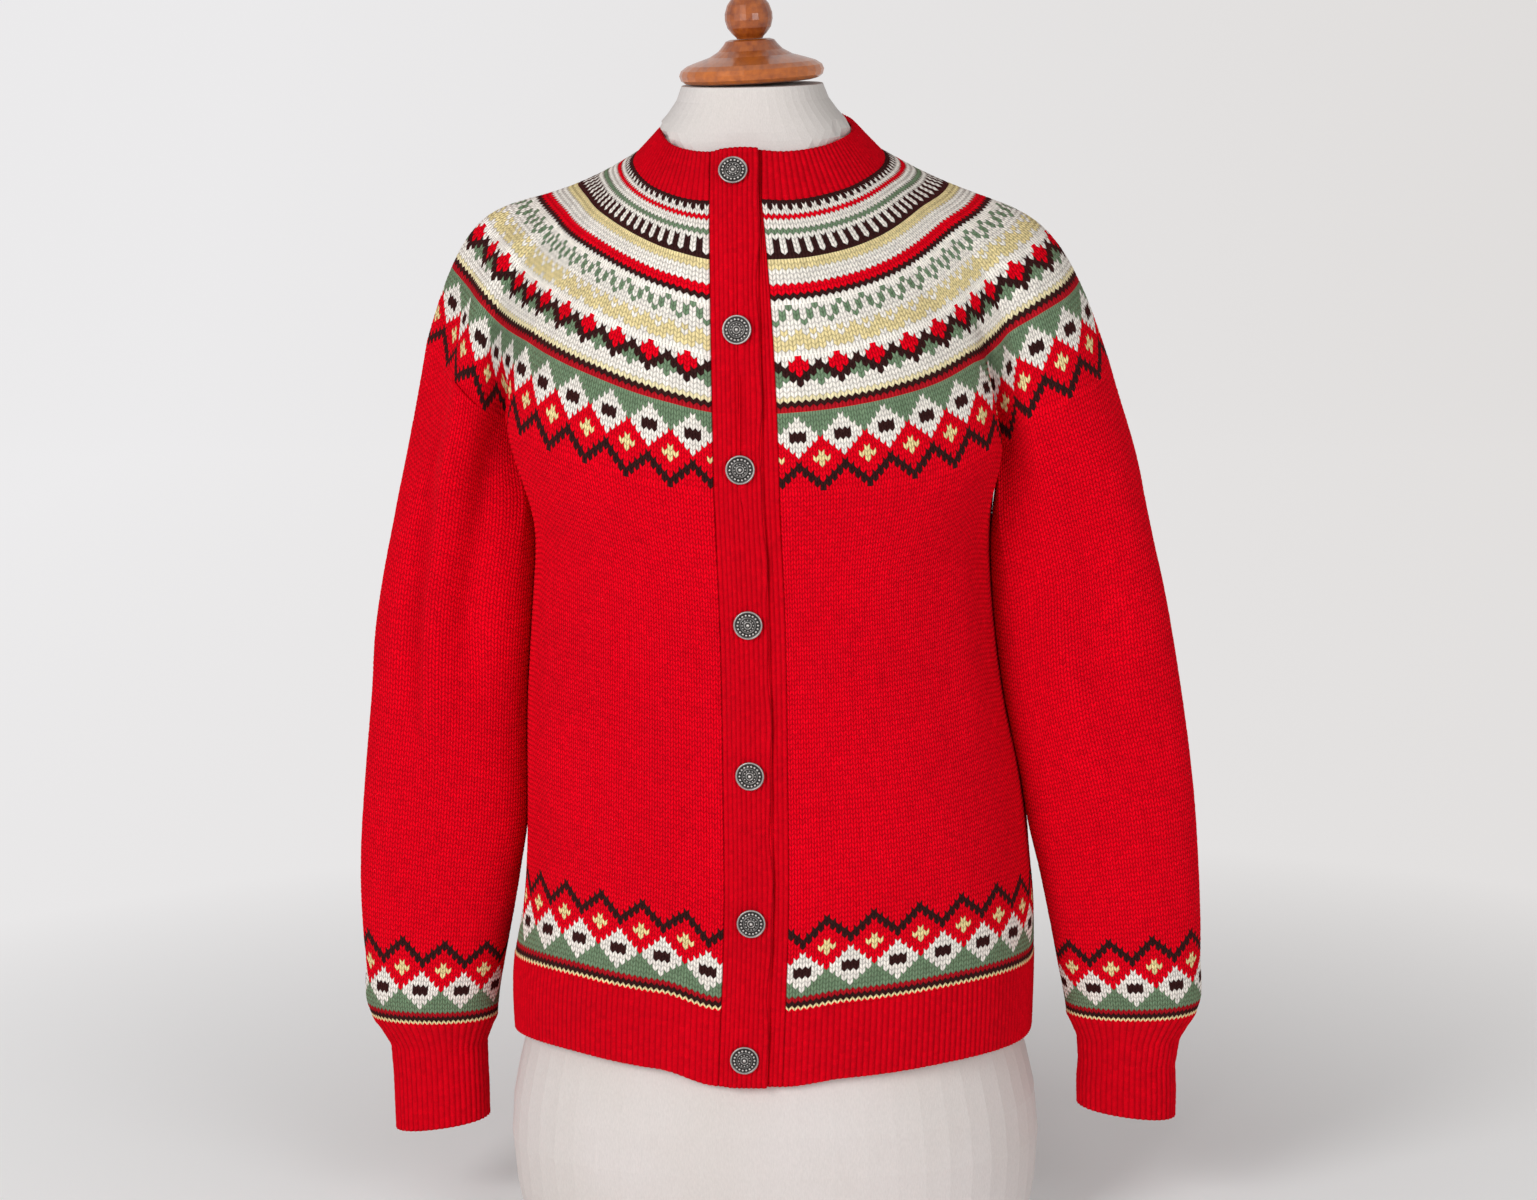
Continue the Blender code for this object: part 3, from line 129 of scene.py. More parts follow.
# The wearer's right sleeve has a standing fold at its front: shifts of the base's points by x.
SLEEVE_FOLD = {191: (4.0, -3.0), 214: (-7.0, -8.0), 236: (-9.0, 9.0), 245: (-1.0, 2.0)}
CLEFT_START = {+1: 0.45, -1: 0.80}
CLEFT_POWER = 1.4
LINE_STEPS = 61
NECK_STEPS, YOKE_STEPS, BODY_STEPS = 5, 25, 49
DRAW_PLACES = (0.0, 0.05, 0.10, 0.15, 0.20, 0.25, 0.30, 0.40, 0.50, 0.60, 1.0)
DRAW_UP = {+1: (-.010, -.005, 0.003, 0.010, 0.017, 0.020, 0.021, 0.016, -.005, -.03, 0.0),
           -1: (-.004, 0.019, 0.030, 0.040, 0.048, 0.044, 0.035, 0.020, -.015, -.04, 0.0)}
LIFT_PLACES = (0.0, 60.0, 110.0, 146.0, 168.0, 191.0, 214.0, 236.0, 245.0)
BASE_LIFT = {+1: (0.0, 0.0, -3.0, -6.0, -8.0, -9.0, -8.0, -9.0, -11.0),
             -1: (0.0, 5.0, 11.0, 11.0, 8.0, 4.0, 3.0, 7.0, 9.0)}
LIFT_BACK_FROM, LIFT_BACK_SHARE = 30.0, 0.5
NECK_DROP = {+1: 11.0, -1: 5.0}
NECK_DROP_RUN = {+1: 91.0, -1: 50.0}
NECK_SPREAD = {+1: 1.0, -1: 0.92}


class DrapeRow(NamedTuple):
    """How the yoke leaves the neck and meets its base, in degrees and tangent lengths."""

    share: float
    fall: float
    fall_pull: float
    lean: float
    lean_pull: float


DRAPE = table(
    DrapeRow,
    (0.00, 64, 200, 2, 200), (0.18, 56, 215, 4, 225), (0.30, 41, 255, 7, 280),
    (0.41, 32, 308, 13, 365), (0.51, 27, 330, 17.3, 425), (0.61, 29, 308, 14, 365),
    (0.70, 33, 275, 9, 300), (0.84, 47, 230, 2, 235), (1.00, 60, 200, -3, 200),
)
FALL_MORE = {+1: 0.0, -1: 5.0}


class BodyRow(NamedTuple):
    """A level section of the body: half widths of each side and the two depths."""

    height: float
    left: float
    right: float
    front: float
    back: float


BODY = table(
    BodyRow,
    (130, 187, 186, 127, 124), (150, 188, 187, 128, 125), (200, 190, 186, 128, 124),
    (240, 190, 178, 127, 120), (280, 187, 174, 125, 113), (330, 183, 172, 122, 103),
    (390, 172, 170, 120, 95), (450, 165, 165, 121, 92), (520, 162, 160, 126, 98),
    (600, 168, 168, 127, 107),
)
BODY_SQUARENESS = 2.35
ARMPIT_FADE = 0.22
REST_GAP = 1.2
REST_FLAT = 2.0
REST_LOW = 280.0
REST_HIGH = {+1: 545.0, -1: 580.0}
REST_LOW_RUN, REST_HIGH_RUN = 35.0, 50.0
REST_DEPTH = 0.95


class HemSwing(NamedTuple):
    """How far the hem rises from its lowest point, at the front bands, towards each place."""

    front: float
    side: float
    back: float


HEM_SWING = {+1: HemSwing(4.5, 9.0, 0.0), -1: HemSwing(9.0, 12.0, 3.0)}
HEM_LOWEST = -7.0
# Shares round half the body, and down it, where each swing starts and over which it runs.
SIDE_SWING, BACK_SWING, ROW_SWING = (0.0, 0.38), (0.55, 0.45), (0.35, 0.65)
FRONT_SWING, FRONT_SETTLE = (0.0, 0.09), (0.20, 0.26)


class SleeveRow(NamedTuple):
    """A level section of a sleeve: the middle and half size outwards and front to back."""

    height: float
    out: float
    half_out: float
    depth: float
    half_depth: float


SLEEVE = {
    +1: table(
        SleeveRow,
        (60, 256, 35.0, -1, 24), (100, 256, 35.5, -1, 24), (143, 258, 38.0, -1, 25),
        (158, 260, 46.5, -1, 31), (171, 261, 49.0, -2, 34), (190, 259, 50.5, -3, 35),
        (225, 256, 53.5, -4, 33), (270, 251, 57.0, -6, 31), (320, 245, 60.0, -9, 30),
        (393, 231, 65.5, -12, 27), (465, 225, 60.0, -10, 30), (520, 221, 52.5, -4, 36),
        (560, 222, 46.0, -1, 43), (640, 211, 38.0, 0, 52),
    ),
    -1: table(
        SleeveRow,
        (60, 246, 34.5, -1, 24), (100, 246, 35.0, -1, 24), (136, 247, 37.0, -1, 25),
        (151, 249, 46.0, -1, 31), (164, 250, 48.5, -2, 34), (190, 247, 50.5, -3, 35),
        (224, 244, 55.0, -4, 33), (260, 240, 58.5, -6, 31), (320, 233, 60.0, -9, 30),
        (394, 227, 57.0, -10, 31), (450, 224, 54.5, -8, 32), (518, 215, 49.5, -4, 37),
        (560, 213, 44.0, -1, 42), (640, 203, 38.0, 0, 50),
    ),
}
SLEEVE_SQUARENESS = 2.2
UNDERARM_SHARE = 0.178
SHOULDER_FADE = 0.26
CUFF_SLANT, CUFF_HALF = 5.0, 35.0


class Part(Enum):
    """The two kinds of piece that have folds."""

    BODY = "body"
    SLEEVE = "sleeve"


class FoldRow(NamedTuple):
    """A soft fold: where it runs, how wide and steep it is, its heights and how far it lifts."""

    part: Part
    side: int
    across: float
    reach: float
    steep: float
    low: float
    high: float
    raise_by: float


FOLDS = table(
    FoldRow,
    (Part.SLEEVE, -1, 0.225, 0.070, 0.25, 520, 700, 6.0),
    (Part.SLEEVE, -1, 0.200, 0.070, 0.22, 330, 610, 8.0),
    (Part.SLEEVE, -1, 0.250, 0.040, 1.00, 330, 640, -5.0),
    (Part.SLEEVE, -1, 0.100, 0.050, 1.00, 390, 620, -8.0),
    (Part.SLEEVE, +1, 0.200, 0.060, 1.00, 350, 600, -5.0),
    (Part.SLEEVE, +1, 0.120, 0.060, 1.00, 300, 480, 4.0),
    (Part.SLEEVE, +1, 0.600, 0.070, 1.00, 320, 560, -4.0),
    (Part.SLEEVE, -1, 0.600, 0.070, 1.00, 300, 540, -4.0),
    (Part.BODY, +1, 0.330, 0.050, 1.00, 330, 540, 3.5),
    (Part.BODY, -1, 0.330, 0.050, 1.00, 300, 530, 3.5),
    (Part.BODY, +1, 0.700, 0.060, 1.00, 260, 520, 3.0),
    (Part.BODY, -1, 0.720, 0.060, 1.00, 280, 540, 3.0),
)
# How much shorter than its half length a fold's soft end is.
FOLD_ENDS = 1.6


class ButtonRow(NamedTuple):
    """A button's height, its offset from the buttons' line, and its tip and turn in degrees."""

    height: float
    shift: float
    tip: float
    turn: float


BUTTONS = table(
    ButtonRow,
    (768, -2.0, -3, 4), (665, 0.0, 3, -4), (572, 0.0, 2, 3), (465, 1.0, -2, 2), (359, 0.5, 2, -2),
    (256, 0.5, 3, 4), (159, -1.0, 1, 5),
)
BUTTON_SEAT = 0.35


class Yarn(Enum):
    """The yarns, by their letter in a chart, with each one's colour."""

    RED = ("R", "E20019")
    DEEP_RED = ("M", "A8141F")
    DARK = ("D", "311B1A")
    WHITE = ("W", "EEE8DF")
    GREEN = ("G", "6E876A")
    YELLOW = ("Y", "E5D39C")
    PALE = ("P", "E9DCB0")
    GOLD = ("C", "EAD698")


# The border, from its outer row to the row of plain red; a repeat starts at a diamond's middle.
# A small letter is a row whose lower half sinks into the red rib.
BORDER_EDGE = ("yyyyyyyy", "DDDDDDDD", "MMMMMMMM", "GGGGGGGG")
BORDER_MOTIF = (
    "WGGGGGGG",
    "WWGGGGGW",
    "WWWGGGWW",
    "DDWWGWWD",
    "DDWWRWWD",
    "WWWRRRWW",
    "WWRRRRRW",
    "WRRRCRRR",
    "RRRCCCRR",
    "DRRRCRRR",
    "DDRRRRRD",
    "RDDRRRDD",
    "RRDDRDDR",
    "RRRDDDRR",
    "RRRRDRRR",
)
BORDER = BORDER_EDGE + BORDER_MOTIF


class YokeBand(NamedTuple):
    """Rows of the yoke with one number of stitches, from the top down."""

    stitches: int
    rows: tuple[str, ...]


YOKE_BANDS = (
    YokeBand(167, ("D", "DW", "W", "R", "W", "W", "G", "W", "DW", "DW", "DW", "D")),
    YokeBand(187, ("Y", "Y", "W", "W", "W", "R", "R", "D", "W")),
    YokeBand(221, ("WWWG", "GWGW", "GWGW", "WGWW", "W", "YW", "YYWY", "YYYY", "WYYY", "W")),
    YokeBand(259, ("RWWWWW", "RRWDWR", "RRDDDR", "RDDGDD", "DDGGGD", "DWWGWW",
                   "W", "W", "P", "D", "M")),
    YokeBand(351, ("G",) + BORDER_MOTIF),
)

# Columns of a piece's plain lining, when it is open and when it is a tube, and its rows.
LINING_COLUMNS, TUBE_COLUMNS, LINING_ROWS = 61, 48, 25
# How much a stitch's height, in millimetres, and its shade differ at random.
UNEVEN_LIFT, UNEVEN_SHADE = 0.06, 0.045
# The middle of a stitch's leg, where plain faces take their painted light and shade from.
PLAIN_PLACE = (0.25, 0.5)


class Texture(Enum):
    """The two ways the pieces are knitted."""

    STOCKINETTE = "stockinette"
    RIB = "rib"


@dataclass(frozen=True)
class KnitLook:
    """How a texture looks: its points and legs to a stitch, its gaps, relief and painted shade.

    The slant is a share of a row, the reliefs are millimetres, and the margin keeps the valley
    between two ribs less deep than the gap between two stitches.
    """

    points_across: int
    legs: float
    margin: float
    row_gap: float
    slant: float
    row_relief: float
    rib_relief: float
    painted_shade: float


# A rib's yarn colour is darkened to 0.70 by painted shade; plain knitting has none.
LOOKS = {
    Texture.STOCKINETTE: KnitLook(2, 2.0, 0.0, 1.0, 0.62, 0.45, 0.0, 1.0),
    Texture.RIB: KnitLook(4, 1.0, 0.04, 0.0, 0.30, 0.08, 1.1, 0.70),
}


# ---------------------------------------------------------------- curves

def smooth(places: Sequence[float], values: object, at: object) -> Points:
    """Read a smooth curve through values at places.

    Args:
        places: where the values lie, rising.
        values: one value, or one array of values, to a place.
        at: where the curve is read.

    Returns:
        The curve's values, one entry to each place read.
    """
    places = np.asarray(places, float)
    values = np.asarray(values, float)
    at = np.asarray(at, float)
    slopes = np.gradient(values, places, axis=0)
    index = np.clip(np.searchsorted(places, at) - 1, 0, len(places) - 2)
    extra = (1,) * (values.ndim - 1)
    span = (places[index + 1] - places[index]).reshape(at.shape + extra)
    step = (at - places[index]).reshape(at.shape + extra) / span
    ease = step * step * (3 - 2 * step)
    swing_in = step * (1 - step) ** 2 * span
    swing_out = step * step * (step - 1) * span
    return ((1 - ease) * values[index] + ease * values[index + 1]
            + swing_in * slopes[index] + swing_out * slopes[index + 1])


def soft_step(value: object) -> Points:
    """Rise softly from 0 to 1 as the value does."""
    value = np.clip(value, 0.0, 1.0)
    return value * value * (3 - 2 * value)


def lengths_along(points: Points) -> Points:
    """Give the length run so far at each point of a line."""
    steps = np.linalg.norm(np.diff(points, axis=0), axis=1)
    return np.concatenate([[0.0], np.cumsum(steps)])


def unit(vectors: Points) -> Points:
    """Scale vectors to length 1."""
    return vectors / np.maximum(np.linalg.norm(vectors, axis=-1, keepdims=True), 1e-9)


def mirrored(points: Points, side: int) -> Points:
    """Turn points on the wearer's left into ones on the given side."""
    return points * np.array([side, 1.0, 1.0])


def superellipse(angle: Points, half_x: float, half_y: float, squareness: float) -> Points:
    """Place points on a rounded section; angle 0 is at -Y and a quarter turn is at +X.

    Args:
        angle: angles round the section.
        half_x: its half width.
        half_y: its half depth.
        squareness: its power, 2 for an ellipse.

    Returns:
        The points in x and y.
    """
    sine, cosine = np.sin(angle), np.cos(angle)
    power = 2.0 / squareness
    return np.stack([half_x * np.sign(sine) * np.abs(sine) ** power,
                     -half_y * np.sign(cosine) * np.abs(cosine) ** power], axis=-1)


def read_line(line: Points, lengths: object, run: Points | None = None) -> Points:
    """Read points of a line at lengths along it, or at values of a run that is given."""
    run = lengths_along(line) if run is None else run
    return np.stack([np.interp(lengths, run, line[:, axis]) for axis in range(3)], axis=-1)


def read_table(rows: Sequence[tuple], at: object) -> Points:
    """Read a table's other columns smoothly at values of its first one."""
    return smooth([row[0] for row in rows], [row[1:] for row in rows], at)


class Ring:
    """Half a ring of cloth, from the centre front to the centre back, read by length."""

    def __init__(self, points: Sequence[Sequence[float]], per_gap: int = 24) -> None:
        """Run a smooth curve through the points, square to the middle plane at both ends.

        Args:
            points: places from the centre front to the centre back.
            per_gap: how many steps lie between two places.
        """
        places = np.asarray(points, float)
        mirror = places[[1, -2]] * (-1, 1, 1)
        full = np.vstack([mirror[:1], places, mirror[1:]])
        knots = lengths_along(full)
        count = (len(places) - 1) * per_gap + 1
        dense_at = np.interp(np.linspace(0, len(places) - 1, count),
                             np.arange(len(places)), knots[1:-1])
        dense_at[0], dense_at[-1] = knots[1], knots[-2]
        self.line = smooth(knots, full, dense_at)
        self.lengths = lengths_along(self.line)
        self.length = float(self.lengths[-1])
        self.marks = self.lengths[::per_gap]

    def at(self, lengths: object) -> Points:
        """Give the points at the given lengths from the centre front."""
        return read_line(self.line, lengths, self.lengths)


def base_points(side: int, with_cleft: bool) -> list[tuple[float, float, float]]:
    """List the yoke's base points for a side, with or without its clefts.

    Args:
        side: +1 for the wearer's left, -1 for the right.
        with_cleft: whether the deep places are among them.

    Returns:
        The points.
    """
    points = []
    for row in YOKE_BASE:
        if row.deep and not with_cleft:
            continue
        reach = SLEEVE_REACH[side] * float(soft_step((row.x - REACH_FROM) / REACH_RUN))
        lift = float(np.interp(row.x, LIFT_PLACES, BASE_LIFT[side]))
        lift *= 1.0 if row.y < LIFT_BACK_FROM else LIFT_BACK_SHARE
        over, forth = SLEEVE_FOLD.get(row.x, (0.0, 0.0)) if side < 0 else (0.0, 0.0)
        points.append((row.x + reach + over, row.y + forth, row.z + lift))
    return points


def neck_points(side: int, places: Sequence[tuple[float, float, float]]
                ) -> list[tuple[float, float, float]]:
    """Let a ring of the neckband hang lower or closer towards the shoulder of a side.

    Args:
        side: +1 for the wearer's left, -1 for the right.
        places: the ring's places.

    Returns:
        The points.
    """
    run = NECK_DROP_RUN[side]
    return [(x * NECK_SPREAD[side], y, z - NECK_DROP[side] * min(1.0, x / run))
            for x, y, z in places]


NECK_LOW = {side: Ring(neck_points(side, [row.low for row in NECK])) for side in (+1, -1)}
NECK_HIGH = {side: Ring(neck_points(side, [row.top for row in NECK])) for side in (+1, -1)}
BASE = {side: Ring(base_points(side, True)) for side in (+1, -1)}
PLAIN_BASE = {side: Ring(base_points(side, False)) for side in (+1, -1)}
BASE_FRONT = float(YOKE_BASE[0].z)


def band_shift(height: object) -> Points:
    """Give how far the buttons' line lies towards the wearer's left at a height."""
    return smooth(BAND_LINE_HEIGHTS, BAND_LINE_SHIFTS, height)


def placed(offset: float, height: float) -> float:
    """Give where a line beside the buttons lies; near the neck the under band draws in.

    Args:
        offset: how far the line lies from the buttons' line.
        height: the height.

    Returns:
        How far the line lies from the middle plane.
    """
    beyond = np.clip((offset - OVER_BAND[1]) / (UNDER_BAND[1] - OVER_BAND[1]), 0.0, 1.0)
    drawn = UNDER_TUCK * soft_step((height - TUCK_FROM) / TUCK_RUN) * beyond
    return float(offset + band_shift(height) - drawn)


def front_edge(side: int, height: float) -> float:
    """Give the length from the centre front to a front's edge, where its band begins.

    Args:
        side: +1 for the wearer's left, -1 for the right.
        height: the height.

    Returns:
        The length.
    """
    if side > 0:
        return placed(UNDER_BAND[1], height)
    return -(OVER_BAND[0] + float(band_shift(height)))


# ---------------------------------------------------------------- surfaces of the garment

def meridians(side: int, neck_at: Points, base_at: Points, plain_at: Points, shares: Points,
              rows: Points, draw: Points) -> Points:
    """Run lines of cloth from the neckband down to the yoke's base.

    Args:
        side: +1 for the wearer's left, -1 for the right.
        neck_at: each column's length along the neck ring.
        base_at: each column's length along the base ring.
        plain_at: each column's length along the base ring without its clefts.
        shares: where each column reads the drape table.
        rows: shares of the way down each line.
        draw: how far each column's middle rows are drawn up towards the neck.

    Returns:
        A grid of points, rows by columns.
    """
    start = NECK_LOW[side].at(neck_at)
    end = PLAIN_BASE[side].at(plain_at)
    pull_in = BASE[side].at(base_at) - end
    drape = read_table(DRAPE, shares)
    fall = np.radians(drape[:, 0] + FALL_MORE[side] * np.sin(np.pi * shares) ** 2)
    lean = np.radians(drape[:, 2])
    level = unit((end - start) * (1, 1, 0))
    down = np.array([0.0, 0.0, -1.0])
    leave = drape[:, 1:2] * (np.cos(fall)[:, None] * level + np.sin(fall)[:, None] * down)
    arrive = drape[:, 3:4] * (np.sin(lean)[:, None] * level + np.cos(lean)[:, None] * down)
    way = np.linspace(0.0, 1.0, LINE_STEPS)[:, None, None]
    lines = ((2 * way ** 3 - 3 * way ** 2 + 1) * start + (way ** 3 - 2 * way ** 2 + way) * leave
             + (3 * way ** 2 - 2 * way ** 3) * end + (way ** 3 - way ** 2) * arrive)
    runs = np.stack([lengths_along(line) for line in lines.transpose(1, 0, 2)], axis=1)
    cleft = soft_step((way - CLEFT_START[side]) / (1 - CLEFT_START[side]))
    lines = lines + cleft ** CLEFT_POWER * pull_in
    grid = np.empty((len(rows), len(shares), 3))
    for column in range(len(shares)):
        run = runs[:, column] / runs[-1, column]
        at = rows - draw[column] * 4 * rows * (1 - rows)
        grid[:, column] = read_line(lines[:, column], at, run)
    return mirrored(grid, side)


def plain_marks(side: int) -> Points:
    """Give where the marks of the ring without clefts lie along the ring with them."""
    return BASE[side].marks[[not row.deep for row in YOKE_BASE]]


def yoke_half(side: int, shares: Points, rows: Points) -> Points:
    """Place points of half the yoke; share 0 is at the front band and 1 at the centre back.

    Args:
        side: +1 for the wearer's left, -1 for the right.
        shares: shares of the way round, from the front band.
        rows: rows from the neckband, 0, to the base, 1.

    Returns:
        A grid of points, rows by columns.
    """
    neck_edge = front_edge(side, NECK[0].low[2])
    base_edge = front_edge(side, BASE_FRONT)
    neck_at = neck_edge + shares * (NECK_LOW[side].length - neck_edge)
    base_at = base_edge + shares * (BASE[side].length - base_edge)
    plain_at = np.interp(base_at, plain_marks(side), PLAIN_BASE[side].marks)
    draw = smooth(DRAW_PLACES, DRAW_UP[side], shares)
    return meridians(side, neck_at, base_at, plain_at, shares, rows, draw)


def neck_half(side: int, shares: Points, rows: Points) -> Points:
    """Place points of half the neckband, from its top, row 0, to its seam, row 1.

    Args:
        side: +1 for the wearer's left, -1 for the right.
        shares: shares of the way round, from the front band.
        rows: rows down the piece.

    Returns:
        A grid of points, rows by columns.
    """
    low_edge = front_edge(side, NECK[0].low[2])
    high_edge = front_edge(side, NECK[0].top[2])
    low_ring, high_ring = NECK_LOW[side], NECK_HIGH[side]
    low = low_ring.at(low_edge + shares * (low_ring.length - low_edge))
    high = high_ring.at(high_edge + shares * (high_ring.length - high_edge))
    return mirrored(high + rows[:, None, None] * (low - high), side)


def body_section(side: int, height: float, count: int = 97) -> Points:
    """Give half a level section of the body, from the centre front to the centre back.

    Args:
        side: +1 for the wearer's left, -1 for the right.
        height: the height.
        count: how many angles are read to a quarter.

    Returns:
        The points, at the height.
    """
    row = read_table(BODY, height)
    half_width = row[0] if side > 0 else row[1]
    angles = np.linspace(0.0, math.pi / 2, count)
    front = superellipse(angles, half_width, row[2], BODY_SQUARENESS)
    back = superellipse(angles[::-1], half_width, row[3], BODY_SQUARENESS) * (1, -1)
    line = np.vstack([front, back[1:]])
    return np.column_stack([line, np.full(len(line), height)])


def armpit_line(side: int, count: int = 9) -> Points:
    """Give the straight seam under the arm, from the front valley to the back one.

    Args:
        side: +1 for the wearer's left, -1 for the right.
        count: how many points it has.

    Returns:
        The points.
    """
    ring = BASE[side]
    ends = ring.at(ring.marks[[FRONT_VALLEY, BACK_VALLEY]])
    return ends[0] + np.linspace(0.0, 1.0, count)[:, None] * (ends[1] - ends[0])


def body_top(side: int) -> Points:
    """Give half the ring that the body hangs from: the front, the underarm and the back.

    Args:
        side: +1 for the wearer's left, -1 for the right.

    Returns:
        The ring's points.
    """
    ring = BASE[side]
    front = ring.line[ring.lengths <= ring.marks[FRONT_VALLEY]]
    back = ring.line[ring.lengths >= ring.marks[BACK_VALLEY]]
    return np.vstack([front, armpit_line(side)[1:-1], back])


def fold_lift(part: Part, side: int, across: Points, heights: Points) -> Points:
    """Add up how far the folds raise the cloth at shares across a piece and at heights.

    Args:
        part: the kind of piece.
        side: +1 for the wearer's left, -1 for the right.
        across: shares across the piece.
        heights: the points' heights.

    Returns:
        How far each point is raised.
    """
    lift = np.zeros(np.broadcast(across, heights).shape)
    for fold in FOLDS:
        if fold.part != part or fold.side != side:
            continue
        away = (across - fold.across) / fold.reach
        away = np.where(away > 0, away / fold.steep, away)
        middle, half = (fold.low + fold.high) / 2, (fold.high - fold.low) / 2
        along = np.clip(1 - np.abs(heights - middle) / half, 0, 1)
        lift += fold.raise_by * np.exp(-away ** 2) * soft_step(along * FOLD_ENDS)
    return lift


def hem_drop(side: int, share: float, row: float) -> float:
    """Give how far the cloth hangs off its level, at a share round half the body and a row.

    Args:
        side: +1 for the wearer's left, -1 for the right.
        share: the share round half the body.
        row: the row down the piece.

    Returns:
        How far the cloth hangs off its level.
    """
    def rise(at: float, run: tuple[float, float]) -> Points:
        """Rise softly along a run."""
        return soft_step((at - run[0]) / run[1])

    swing = HEM_SWING[side]
    lift = swing.side * rise(share, SIDE_SWING) - swing.back * rise(share, BACK_SWING)
    lift += swing.front * rise(share, FRONT_SWING) * (1 - rise(share, FRONT_SETTLE))
    return float((HEM_LOWEST + lift) * rise(row, ROW_SWING))


def read_rows(stations: Points, grid: Points, rows: Points) -> Points:
    """Read a grid between its rows, smoothly above the rib's seam, row 1, and evenly below it.

    Args:
        stations: the grid's own rows.
        grid: points, stations by columns.
        rows: the rows to read.

    Returns:
        A grid of points, rows by columns.
    """
    rows = np.asarray(rows, float)
    turn = int(np.searchsorted(stations, 1.0))
    above = smooth(stations[:turn + 1], grid[:turn + 1], np.minimum(rows, 1.0))
    below = np.stack([read_line(column, rows, stations[turn:])
                      for column in grid[turn:].transpose(1, 0, 2)], axis=1)
    return np.where(rows[:, None, None] > 1.0, below, above)


def height_at(row: float, top: float, seam: float, end: float) -> float:
    """Give the level height of a row: 0 at the top, 1 at the rib's seam and 2 at its end."""
    return top + (seam - top) * min(row, 1.0) - max(row - 1.0, 0.0) * (seam - end)


BODY_STATIONS = np.array([0.0, 0.03, 0.06, 0.1, 0.14, 0.18, 0.22, 0.28, 0.35, 0.43, 0.51, 0.6,
                          0.7, 0.8, 0.9, 1.0, 1.25, 1.5, 1.75, 2.0])
SLEEVE_STATIONS = np.array([0.0, 0.025, 0.05, 0.08, 0.11, 0.15, 0.2, 0.26, 0.33, 0.41, 0.5, 0.58,
                            0.66, 0.74, 0.81, 0.87, 0.92, 0.95, 0.975, 1.0, 1.03, 1.1, 1.25,
                            1.5, 1.75, 2.0])


def body_half(side: int, shares: Points, rows: Points) -> Points:
    """Place points of half the body: row 0 at the yoke, 1 at the hem rib's seam, 2 at the hem.

    Args:
        side: +1 for the wearer's left, -1 for the right.
        shares: shares of the way round, from the front band.
        rows: rows down the piece.

    Returns:
        A grid of points, rows by columns.
    """
    top_line = body_top(side)
    top_edge = front_edge(side, BASE_FRONT)
    top_length = lengths_along(top_line)[-1]
    top = read_line(top_line, top_edge + shares * (top_length - top_edge))

    def section_point(height: float, share: float) -> Points:
        """Read the plain section at a height, at a share of the way round from the band.

        Args:
            height: the height.
            share: the share of the way round.

        Returns:
            The point.
        """
        line = body_section(side, height)
        edge = front_edge(side, height)
        return read_line(line, edge + share * (lengths_along(line)[-1] - edge))

    grid = np.empty((len(BODY_STATIONS), len(shares), 3))
    base = [section_point(start[2], share) for start, share in zip(top, shares)]
    for index, row in enumerate(BODY_STATIONS):
        fade = 1 - float(soft_step(row / ARMPIT_FADE))
        for column, share in enumerate(shares):
            height = height_at(row, top[column, 2], RIB_TOP, HEM_HEIGHT)
            height += hem_drop(side, share, row)
            grid[index, column] = section_point(height, share) + fade * (top[column]
                                                                         - base[column])
            grid[index, column, 2] = height
    grid = mirrored(grid, side)
    lift = fold_lift(Part.BODY, side, shares[None, :], grid[..., 2])
    grid = grid + lift[..., None] * unit(grid * (1, 1, 0))
    return read_rows(BODY_STATIONS, grid, rows)


def rest_on_body(side: int, points: Points) -> Points:
    """Press a sleeve's inner side softly against the body's side, where the two hang together.

    Args:
        side: +1 for the wearer's left, -1 for the right.
        points: a grid of one sleeve, rows by columns, as on the wearer's left.

    Returns:
        The grid, lying flat along the body with a small gap and free below.
    """
    left, right, front, back = np.moveaxis(read_table(BODY, points[..., 2]), -1, 0)
    half_width = left if side > 0 else right
    depth = np.where(points[..., 1] < 0, front, back)
    away = np.clip(np.abs(points[..., 1]) / depth, 0.0, REST_DEPTH)
    wall = half_width * (1 - away ** BODY_SQUARENESS) ** (1 / BODY_SQUARENESS) + REST_GAP
    x = points[..., 0]
    middle, inner = x.mean(axis=1, keepdims=True), x.min(axis=1, keepdims=True)
    weight = np.clip((middle - x) / (middle - inner), 0.0, 1.0) ** 2
    gap = (x - wall).min(axis=1, keepdims=True)
    height = points[..., 2]
    near = (soft_step((height - REST_LOW) / REST_LOW_RUN)
            * soft_step((REST_HIGH[side] - height) / REST_HIGH_RUN))
    pressed = np.maximum(x - (gap + REST_FLAT) * weight, wall)
    rested = points.copy()
    rested[..., 0] = x + near * (pressed - x)
    return rested


def sleeve_section(side: int, height: float, count: int = 181) -> Points:
    """Give a sleeve's oval section, once round from its inner side by the front.

    Args:
        side: +1 for the wearer's left, -1 for the right.
        height: the height.
        count: how many angles are read.

    Returns:
        The points, at the height.
    """
    row = read_table(SLEEVE[side], height)
    angles = np.linspace(-math.pi / 2, 3 * math.pi / 2, count)
    oval = superellipse(angles, row[1], row[3], SLEEVE_SQUARENESS) + (row[0], row[2])
    return np.column_stack([oval, np.full(len(oval), height)])


def sleeve_top(side: int) -> Points:
    """Give the ring that a sleeve hangs from, from the front valley over it and back under.

    Args:
        side: +1 for the wearer's left, -1 for the right.

    Returns:
        The ring's points.
    """
    ring = BASE[side]
    inside = ((ring.lengths >= ring.marks[FRONT_VALLEY])
              & (ring.lengths <= ring.marks[BACK_VALLEY]))
    return np.vstack([ring.line[inside], armpit_line(side)[::-1][1:]])


